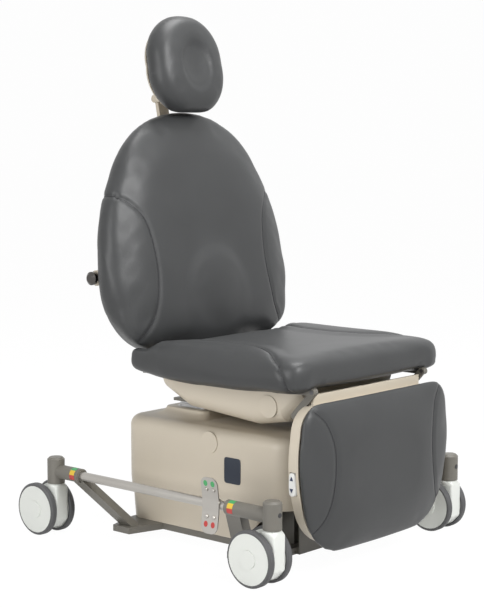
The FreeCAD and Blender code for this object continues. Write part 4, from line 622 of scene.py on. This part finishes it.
def bolstered(piece):
    """Raises the seat's sides into bolsters outside their seams, and lowers the panel between them.

    The front hem comes down a little, and the rear ends of the bolsters rise beside the back.
    """
    normals = [vertex.normal.copy() for vertex in piece.data.vertices]
    for vertex, normal in zip(piece.data.vertices, normals):
        if vertex.co.z < SEAT_MIDDLE:
            vertex.co.z -= HEM_DROP * eased((-0.30 - vertex.co.y) / 0.10)
        if vertex.co.z > SEAT_MIDDLE and abs(vertex.co.x) > 0.22:
            rear = eased((vertex.co.y - 0.04) / 0.05)
            vertex.co.z += REAR_RISE * rear * eased((vertex.co.z - SEAT_MIDDLE) / 0.03)
        if normal.z < 0.25 or vertex.co.z < 0.53:
            continue
        seam_x = seam_x_at(vertex.co.y)
        past = abs(vertex.co.x) - seam_x
        fade = eased((vertex.co.y + 0.45) / 0.18)
        if past > 0:
            swell = math.sin(math.pi * min(1.0, past / (SEAT_HALF - seam_x)))
            vertex.co.z += BOLSTER_RISE * fade * swell
        else:
            vertex.co.z -= PANEL_DROP * fade * eased(-past / 0.07)


# Ovals: middle, directions across and up, half width, half height, rise
ACROSS = Vector((1, 0, 0))
LUMBAR = (BACK_FOOT + BACK_UP * 0.178, ACROSS, BACK_UP, 0.118, 0.118, 0.003)
head_low, head_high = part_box("headrest_cushion")
head_middle = Vector((0, head_low[1], (head_low[2] + head_high[2]) / 2))
DISH = (head_middle, ACROSS, BACK_UP, 0.058, 0.066, -0.005)
cushion("seat_upholstery", "seat_cushion", "seat", voxel=0.011, passes=22, start=0.003, cap=0.008,
        seams=seat_seams, form=bolstered)
cushion("back_upholstery", "back_cushion", "back", voxel=0.011, passes=6, start=0.003, cap=0.007,
        seams=back_seams, domes=[LUMBAR], form=back_form)
cushion("headrest_upholstery", "headrest_cushion", "headrest", voxel=0.008, passes=6, start=0.002,
        cap=0.005, seams=[], domes=[DISH])
cushion("leg_upholstery", "leg_cushion", "leg", voxel=0.011, passes=6, start=0.003, cap=0.006,
        seams=leg_seams, form=crowned_leg)


# Moulded covers with softened edges

def softened(node, body, width):
    """A cover's CAD form with its edges rounded."""
    piece = merged_copy(f"{node}_moulding", node, finishes["cover"])
    form = bmesh.new()
    form.from_mesh(piece.data)
    bmesh.ops.dissolve_limit(form, angle_limit=math.radians(2), verts=form.verts, edges=form.edges)
    form.to_mesh(piece.data)
    form.free()
    bevel = piece.modifiers.new("edges", "BEVEL")
    bevel.width = width
    bevel.segments = 4
    bevel.limit_method = "ANGLE"
    bevel.angle_limit = math.radians(24)
    settled(piece)
    smooth(piece.data)
    piece.data.set_sharp_from_angle(angle=math.radians(35))
    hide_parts(node)
    finish_piece(piece, body)


softened("seat_shroud", "seat", width=0.010)
softened("back_shell", "back", width=0.004)
softened("leg_shell", "leg", width=0.005)
softened("headrest_shell", "headrest", width=0.003)


def closed_mesh(name, form, finish, body):
    """A piece from a closed form, with its faces turned outwards."""
    bmesh.ops.recalc_face_normals(form, faces=form.faces)
    mesh = bpy.data.meshes.new(name)
    form.to_mesh(mesh)
    form.free()
    piece = new_object(name, mesh, finish)
    smooth(mesh)
    mesh.set_sharp_from_angle(angle=math.radians(40))
    finish_piece(piece, body)
    return piece


def joined_rings(form, rings):
    """Faces between each ring of points and the next."""
    count = len(rings[0])
    for low, high in zip(rings, rings[1:]):
        for index in range(count):
            after = (index + 1) % count
            form.faces.new((low[index], low[after], high[after], high[index]))


ARC_STEPS = 10
SIDE_STEPS = 24


def rounded_ring(half, near, far, radius):
    """Points round a rounded rectangle, the same number for each size."""
    middles = ((half - radius, near + radius, -90), (half - radius, far - radius, 0),
               (radius - half, far - radius, 90), (radius - half, near + radius, 180))
    spots = []
    for index, (x, y, turn) in enumerate(middles):
        for step in range(ARC_STEPS + 1):
            angle = math.radians(turn + 90 / ARC_STEPS * step)
            spots.append((x + radius * math.cos(angle), y + radius * math.sin(angle)))
        after_x, after_y, after_turn = middles[(index + 1) % 4]
        angle = math.radians(turn + 90)
        first = spots[-1]
        last = (after_x + radius * math.cos(angle), after_y + radius * math.sin(angle))
        for step in range(1, SIDE_STEPS):
            share = step / SIDE_STEPS
            spots.append((first[0] + (last[0] - first[0]) * share,
                          first[1] + (last[1] - first[1]) * share))
    return spots


COVER_HALF = 0.235
COVER_NEAR = -0.345
COVER_FAR = 0.276
COVER_CORNER = 0.060
COVER_TOP = 0.345
COVER_WALL = 0.004
SHOULDER = 0.030
COLUMN_Y = 0.112
APRON_TOP = 0.150
APRON_NEAR = -0.285
APRON_FAR = -0.155
FOOT_INSET = 0.013

# Height and inset of the cover's wall above its foot
COVER_WALL_ROWS = ((0.120, 0.0075), (0.145, 0.0022), (0.165, 0.0004),
                   (0.190, 0.0), (0.250, 0.0), (0.300, 0.0))

# Height, half width, half length and corner of the collar's lip and bore
COLLAR_ROWS = ((0.3672, 0.1485, 0.0805, 0.0255), (0.368, 0.146, 0.078, 0.025),
               (0.368, 0.1253, 0.0603, 0.024), (0.341, 0.1253, 0.0603, 0.024))


def cover_ring(height, inset):
    return height, rounded_ring(COVER_HALF - inset, COVER_NEAR + inset, COVER_FAR - inset,
                                COVER_CORNER - inset)


def collar_ring(height, half, near, far, radius):
    return height, rounded_ring(half, COLUMN_Y - near, COLUMN_Y + far, radius)


def base_cover():
    """The base's moulded cover with a round shoulder and a flared collar, hollow below."""
    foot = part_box("base_cover")[0][2]
    plate_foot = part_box("base_plate")[0][2]
    rows = [cover_ring(foot, FOOT_INSET)]
    for height, inset in COVER_WALL_ROWS:
        rows.append(cover_ring(height, inset))
    for step in range(10):
        turn = math.radians(10 * step)
        height = COVER_TOP - SHOULDER * (1 - math.sin(turn))
        rows.append(cover_ring(height, SHOULDER * (1 - math.cos(turn))))
    for share in (0.0, 0.15, 0.35, 0.6, 0.85, 1.0):
        spread = (1 - share) ** 2
        rows.append(collar_ring(COVER_TOP + 0.020 * share, 0.150 + 0.034 * spread,
                                0.082 + 0.0085 * spread, 0.082 + 0.034 * spread,
                                0.026 + 0.017 * spread))
    for height, half, length, radius in COLLAR_ROWS:
        rows.append(collar_ring(height, half, length, length, radius))
    rows.append(cover_ring(COVER_TOP - COVER_WALL, SHOULDER))
    rows.append(cover_ring(COVER_TOP - SHOULDER, COVER_WALL))
    rows.append(cover_ring(0.150, COVER_WALL))
    rows.append(cover_ring(foot, FOOT_INSET + COVER_WALL))
    form = bmesh.new()
    rings = []
    for height, spots in rows:
        ring = []
        for x, y in spots:
            share = min(1.0, max(0.0, (APRON_FAR - y) / (APRON_FAR - APRON_NEAR)))
            least = plate_foot + (APRON_TOP - plate_foot) * share
            ring.append(form.verts.new((x, y, max(height, least))))
        rings.append(ring)
    joined_rings(form, rings + rings[:1])
    bmesh.ops.dissolve_degenerate(form, dist=0.00001, edges=form.edges)
    piece = closed_mesh("base_cover_moulding", form, finishes["cover"], "base")
    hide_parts("base_cover")


base_cover()


# Small fittings

# Share of the outline and of the thickness, from the foot of a plate's rim to its top
PLATE_ROWS = ((1.0, 0.0), (1.0, 0.6), (0.96, 0.9), (0.88, 1.0))
PLATE_POINTS = 48

# Power of a plate's outline: an oval, a bar with round ends, a square with rounded corners
ROUND = 2.0
ROUND_ENDS = 3.2
ROUND_CORNERS = 9


def plate_at(name, place, facing, half_width, half_height, thickness, power, finish, body):
    """A thin plate with a superellipse outline and a rounded rim, lying on a face."""
    across = UP.cross(facing)
    across = across.normalized() if across.length > 0.01 else Vector((1, 0, 0))
    upward = facing.cross(across).normalized()
    form = bmesh.new()
    rings = []
    for share, lift in PLATE_ROWS:
        shrink = min(half_width, half_height) * (1 - share)
        ring = []
        for index in range(PLATE_POINTS):
            turn = 2 * math.pi * index / PLATE_POINTS
            c = math.cos(turn)
            s = math.sin(turn)
            x = math.copysign(abs(c) ** (2 / power), c) * (half_width - shrink)
            y = math.copysign(abs(s) ** (2 / power), s) * (half_height - shrink)
            ring.append(form.verts.new(place + across * x + upward * y + facing * thickness * lift))
        rings.append(ring)
    joined_rings(form, rings)
    form.faces.new(rings[-1])
    form.faces.new(list(reversed(rings[0])))
    return closed_mesh(name, form, finish, body)


def face_of(node, point, towards):
    """Place and normal where a line towards a CAD node first meets it."""
    spot, normal, face, distance = surface_tree(nodes[node]).ray_cast(point, towards)
    return spot, normal


def tube_label(name, centre, low_turn, high_turn, side, finish):
    """A thin label patch bent round a side tube, on its outer side."""
    form = bmesh.new()
    rows = []
    for y in (-LABEL_HALF, LABEL_HALF):
        for r in (TUBE_RADIUS, TUBE_RADIUS + LABEL_THICKNESS):
            row = []
            for index in range(LABEL_STEPS + 1):
                turn = math.radians(low_turn + (high_turn - low_turn) * index / LABEL_STEPS)
                row.append(form.verts.new((centre.x + side * r * math.cos(turn), centre.y + y,
                                           centre.z + r * math.sin(turn))))
            rows.append(row)
    for first, second in ((0, 1), (1, 3), (3, 2), (2, 0)):
        for index in range(LABEL_STEPS):
            form.faces.new((rows[first][index], rows[first][index + 1],
                            rows[second][index + 1], rows[second][index]))
    for end in (0, LABEL_STEPS):
        form.faces.new((rows[0][end], rows[1][end], rows[3][end], rows[2][end]))
    closed_mesh(name, form, finish, "base")


TUBE_RADIUS = 0.020
LABEL_HALF = 0.0095
LABEL_THICKNESS = 0.0005
LABEL_STEPS = 8
PEDAL_Y = -0.231
BAR_X = 0.393
BAR_Z = 0.187
BAR_RADIUS = 0.0125
PEDAL_REACH = 0.075
PEDAL_FLAT = 0.018
PEDAL_KICK = 0.008
PEDAL_HALF = 0.029
PEDAL_ROUND = 0.021
PEDAL_PLATE = 0.003
PEDAL_GAP = 0.0003
PEDAL_ROWS = 60
PEDAL_STEPS = 12
CLAMP_HALF = 0.0145
CLAMP_WALL = 0.003
CLAMP_POINTS = 40

# Height on the plate, half height and thickness of the two coloured ovals and the two raised grips
PEDAL_OVALS = (("green", 0.058, 0.008, 0.0006, mark_green),
               ("red", -0.051, 0.008, 0.0006, mark_red),
               ("grip_high", 0.041, 0.0055, 0.0028, finishes["stainless"]),
               ("grip_low", -0.031, 0.0055, 0.0028, finishes["stainless"]))


def pedal_offset(rise):
    """How far the pedal plate's inner face stands from the bar's axis at a height."""
    bend = max(0.0, abs(rise) - PEDAL_FLAT) / (PEDAL_REACH - PEDAL_FLAT)
    return BAR_RADIUS + PEDAL_GAP + PEDAL_KICK * bend


def pedal_half(rise):
    """Half the pedal's width at a height, with rounded tips."""
    past = max(0.0, abs(rise) - (PEDAL_REACH - PEDAL_ROUND))
    return PEDAL_HALF - PEDAL_ROUND + math.sqrt(max(0.0, PEDAL_ROUND ** 2 - past ** 2))


def brake_pedal(name, side, body):
    """Bent stainless plate with rounded tips and its clamp round the bar."""
    x = BAR_X * side
    form = bmesh.new()
    faces = []
    for face in (0.0, PEDAL_PLATE):
        rows = []
        for index in range(PEDAL_ROWS + 1):
            rise = PEDAL_REACH * math.sin(math.pi * (index / PEDAL_ROWS - 0.5))
            half = pedal_half(rise)
            out = x + side * (pedal_offset(rise) + face)
            row = []
            for step in range(PEDAL_STEPS + 1):
                across = half * math.sin(math.pi * (step / PEDAL_STEPS - 0.5))
                row.append(form.verts.new((out, PEDAL_Y + across, BAR_Z + rise)))
            rows.append(row)
        for low, high in zip(rows, rows[1:]):
            for step in range(PEDAL_STEPS):
                form.faces.new((low[step], low[step + 1], high[step + 1], high[step]))
        faces.append(rows)
    back, front = faces
    for index in range(PEDAL_ROWS):
        for step in (0, PEDAL_STEPS):
            form.faces.new((back[index][step], back[index + 1][step],
                            front[index + 1][step], front[index][step]))
    for index in (0, PEDAL_ROWS):
        for step in range(PEDAL_STEPS):
            form.faces.new((back[index][step], back[index][step + 1],
                            front[index][step + 1], front[index][step]))
    rings = []
    for y, r in ((-CLAMP_HALF, BAR_RADIUS), (-CLAMP_HALF, BAR_RADIUS + CLAMP_WALL),
                 (CLAMP_HALF, BAR_RADIUS + CLAMP_WALL), (CLAMP_HALF, BAR_RADIUS)):
        ring = []
        for index in range(CLAMP_POINTS):
            turn = 2 * math.pi * index / CLAMP_POINTS
            place = (x + r * math.cos(turn), PEDAL_Y + y, BAR_Z + r * math.sin(turn))
            ring.append(form.verts.new(place))
        rings.append(ring)
    joined_rings(form, rings + rings[:1])
    piece = closed_mesh(f"pedal_plate_{name}", form, finishes["stainless"], body)
    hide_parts(f"brake_pedal_{name}")
    for kind, rise, tall, high, finish in PEDAL_OVALS:
        lean = PEDAL_KICK / (PEDAL_REACH - PEDAL_FLAT) * math.copysign(1, rise)
        facing = Vector((side, 0, -lean)).normalized()
        out = x + side * (pedal_offset(rise) + PEDAL_PLATE)
        for end, step in (("front", -1), ("rear", 1)):
            spot = Vector((out, PEDAL_Y + 0.0125 * step, BAR_Z + rise))
            plate_at(f"pedal_{kind}_{name}_{end}", spot, facing, 0.0068, tall, high, ROUND,
                     finish, body)


def rounded_fork(corner):
    """The caster's moulded body with its edges rounded off."""
    node = f"caster_fork_{corner}"
    piece = merged_copy(f"fork_moulding_{corner}", node, finishes["caster_white"])
    remeshed(piece, voxel=0.003, passes=16)
    fitted(piece, node)
    smooth(piece.data)
    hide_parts(node)
    finish_piece(piece, f"caster_{corner}")


def switch_plate():
    """The foot switch's plate with rounded ends."""
    low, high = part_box("leg_switch_plate")
    middle = (Vector(low) + Vector(high)) / 2
    root = Vector((high[0], middle.y, middle.z))
    piece = plate_at("switch_plate_moulding", root, Vector((-1, 0, 0)), 0.0105, 0.031,
                     high[0] - low[0], ROUND_ENDS, finishes["switch_white"], "leg")
    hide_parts("leg_switch_plate")


switch_plate()
nodes["control_box"].data.materials[0] = finishes["frame_paint"]
SLEEVE_RADIUS = 0.025
PLUG_Z = 0.193
PLUG_SINK = 0.0012
LABEL_BACK = 0.022

# Place along y, direction inwards and length of the side tube at each stem
STEMS = (("front", -0.431, 1, 0.152), ("rear", 0.387, -1, 0.109))

# Where each coloured patch starts and ends round the tube, in degrees
LABELS = (("green", 48, 88, mark_green), ("yellow", 8, 48, mark_yellow), ("red", -32, 8, mark_red))
for side, side_name in ((-1, "right"), (1, "left")):
    brake_pedal(side_name, side, f"brake_{side_name}")
    for end_name, stem_y, inward, length in STEMS:
        corner = f"{end_name}_{side_name}"
        middle = Vector((BAR_X * side, stem_y + (length - LABEL_BACK) * inward, BAR_Z))
        for label, low_turn, high_turn, finish in LABELS:
            tube_label(f"tube_{label}_{corner}", middle, low_turn, high_turn, side, finish)
        facing = Vector((0, -inward, 0))
        spot = Vector((BAR_X * side, stem_y, PLUG_Z)) + facing * SLEEVE_RADIUS
        plate_at(f"sleeve_plug_{corner}", spot - facing * PLUG_SINK, facing, 0.0065, 0.0065, 0.0022,
                 ROUND, finishes["black_plastic"], "base")
        rounded_fork(corner)

for side, name in ((-1, "right"), (1, "left")):
    spot, normal = face_of("base_cover", Vector((0.6 * side, -0.152, 0.238)), Vector((-side, 0, 0)))
    plate_at(f"side_plate_{name}", spot, normal, 0.030, 0.036, 0.0016, ROUND_CORNERS,
             plate_navy, "base")

stud_nickel = metal_finish("stud_nickel", (0.10, 0.095, 0.09), 0.10, (1.0, 1.0, 0.05))
nodes["arm_studs"].data.materials[0] = stud_nickel
SCREW_RADIUS = 0.0055
shell_screws = []
for x in (-0.17, 0.17):
    for height in (0.235, 0.400, 0.560):
        behind = BACK_FOOT + Vector((x, 0, 0)) + BACK_UP * height + BACK_DEPTH * 0.5
        shell_screws.append(face_of("back_shell", behind, -BACK_DEPTH))
from_points("back_shell_screws", screws, shell_screws, {"Radius": SCREW_RADIUS}, "back")
leg_screws = []
for x in (-0.24, 0.24):
    for height in (0.16, 0.38):
        leg_screws.append(face_of("leg_shell", Vector((x, 0.2, height)), Vector((0, -1, 0))))
from_points("leg_shell_screws", screws, leg_screws, {"Radius": SCREW_RADIUS}, "leg")


# Studio

FLOOR_HALF = 30
FLOOR_WHITE = 1.03
FLOOR_SHARE = 0.95
BACKDROP_WHITE = 0.985
SOFT_LIGHT = 0.18

# Place, aim, size and power of each lamp
LAMPS = (("key_light", (-0.6, -3.6, 3.2), (0, 0, 0.7), 2.0, 192),
         ("fill_light", (-3.9, 0.1, 1.5), (0, 0, 0.4), 2.4, 86),
         ("top_light", (0.6, -0.2, 4.0), (0, 0, 0.6), 2.0, 120))
CAMERA_PLACE = (-3.4471, -3.0476, 1.1794)
CAMERA_AIM = Vector((-0.00066, 0.022, 0.66254))
SENSOR_HEIGHT = 36.0
LENS_LENGTH = 95.85


def studio_floor():
    """A pale floor, almost white where the camera or a reflection sees it, that keeps a soft shadow."""
    corners = [(-FLOOR_HALF, -FLOOR_HALF, 0), (FLOOR_HALF, -FLOOR_HALF, 0),
               (FLOOR_HALF, FLOOR_HALF, 0), (-FLOOR_HALF, FLOOR_HALF, 0)]
    floor_mesh = bpy.data.meshes.new("studio_floor")
    floor_mesh.from_pydata(corners, [], [(0, 1, 2, 3)])
    finish = Finish("studio_floor")
    seen = finish.add("ShaderNodeLightPath", {}, {}, "Is Camera Ray")
    mirrored = finish.add("ShaderNodeLightPath", {}, {}, "Is Glossy Ray")
    through = finish.add("ShaderNodeLightPath", {}, {}, "Is Transmission Ray")
    white = finish.add("ShaderNodeEmission", {}, {"Color": (1, 1, 1, 1), "Strength": FLOOR_WHITE})
    matte = finish.add("ShaderNodeBsdfDiffuse", {}, {"Color": (0.8, 0.8, 0.8, 1)})
    share = (seen + mirrored + through) * FLOOR_SHARE
    mixed = finish.add("ShaderNodeMixShader", {}, {0: share, 1: matte, 2: white})
    finish.add("ShaderNodeOutputMaterial", {}, {"Surface": mixed})
    new_object("studio_floor", floor_mesh, finish.material)


def backdrop():
    """Soft light all round, and white paper where the camera or a reflection sees it."""
    world = bpy.data.worlds.new("studio")
    scene.world = world
    world.use_nodes = True
    tree = world.node_tree
    tree.nodes.clear()
    path = tree.nodes.new("ShaderNodeLightPath")
    mix = tree.nodes.new("ShaderNodeMixShader")
    soft = tree.nodes.new("ShaderNodeBackground")
    soft.inputs["Strength"].default_value = SOFT_LIGHT
    paper = tree.nodes.new("ShaderNodeBackground")
    paper.inputs["Color"].default_value = (1, 1, 1, 1)
    paper.inputs["Strength"].default_value = BACKDROP_WHITE
    out = tree.nodes.new("ShaderNodeOutputWorld")
    either = tree.nodes.new("ShaderNodeMath")
    either.operation = "MAXIMUM"
    tree.links.new(path.outputs["Is Camera Ray"], either.inputs[0])
    tree.links.new(path.outputs["Is Glossy Ray"], either.inputs[1])
    shown = tree.nodes.new("ShaderNodeMath")
    shown.operation = "MAXIMUM"
    tree.links.new(either.outputs[0], shown.inputs[0])
    tree.links.new(path.outputs["Is Transmission Ray"], shown.inputs[1])
    tree.links.new(shown.outputs[0], mix.inputs[0])
    tree.links.new(soft.outputs[0], mix.inputs[1])
    tree.links.new(paper.outputs[0], mix.inputs[2])
    tree.links.new(mix.outputs[0], out.inputs[0])


def lamps():
    for name, place, aim, size, power in LAMPS:
        lamp = bpy.data.lights.new(name, "AREA")
        lamp.size = size
        lamp.energy = power
        holder = bpy.data.objects.new(name, lamp)
        holder.location = place
        holder.rotation_euler = (Vector(aim) - Vector(place)).to_track_quat("-Z", "Y").to_euler()
        scene.collection.objects.link(holder)


def camera():
    lens = bpy.data.cameras.new("photo_camera")
    lens.sensor_fit = "VERTICAL"
    lens.sensor_height = SENSOR_HEIGHT
    lens.lens = LENS_LENGTH
    holder = bpy.data.objects.new("photo_camera", lens)
    holder.location = CAMERA_PLACE
    aim = CAMERA_AIM - holder.location
    holder.rotation_euler = aim.to_track_quat("-Z", "Y").to_euler()
    scene.collection.objects.link(holder)
    scene.camera = holder


studio_floor()
backdrop()
lamps()
camera()
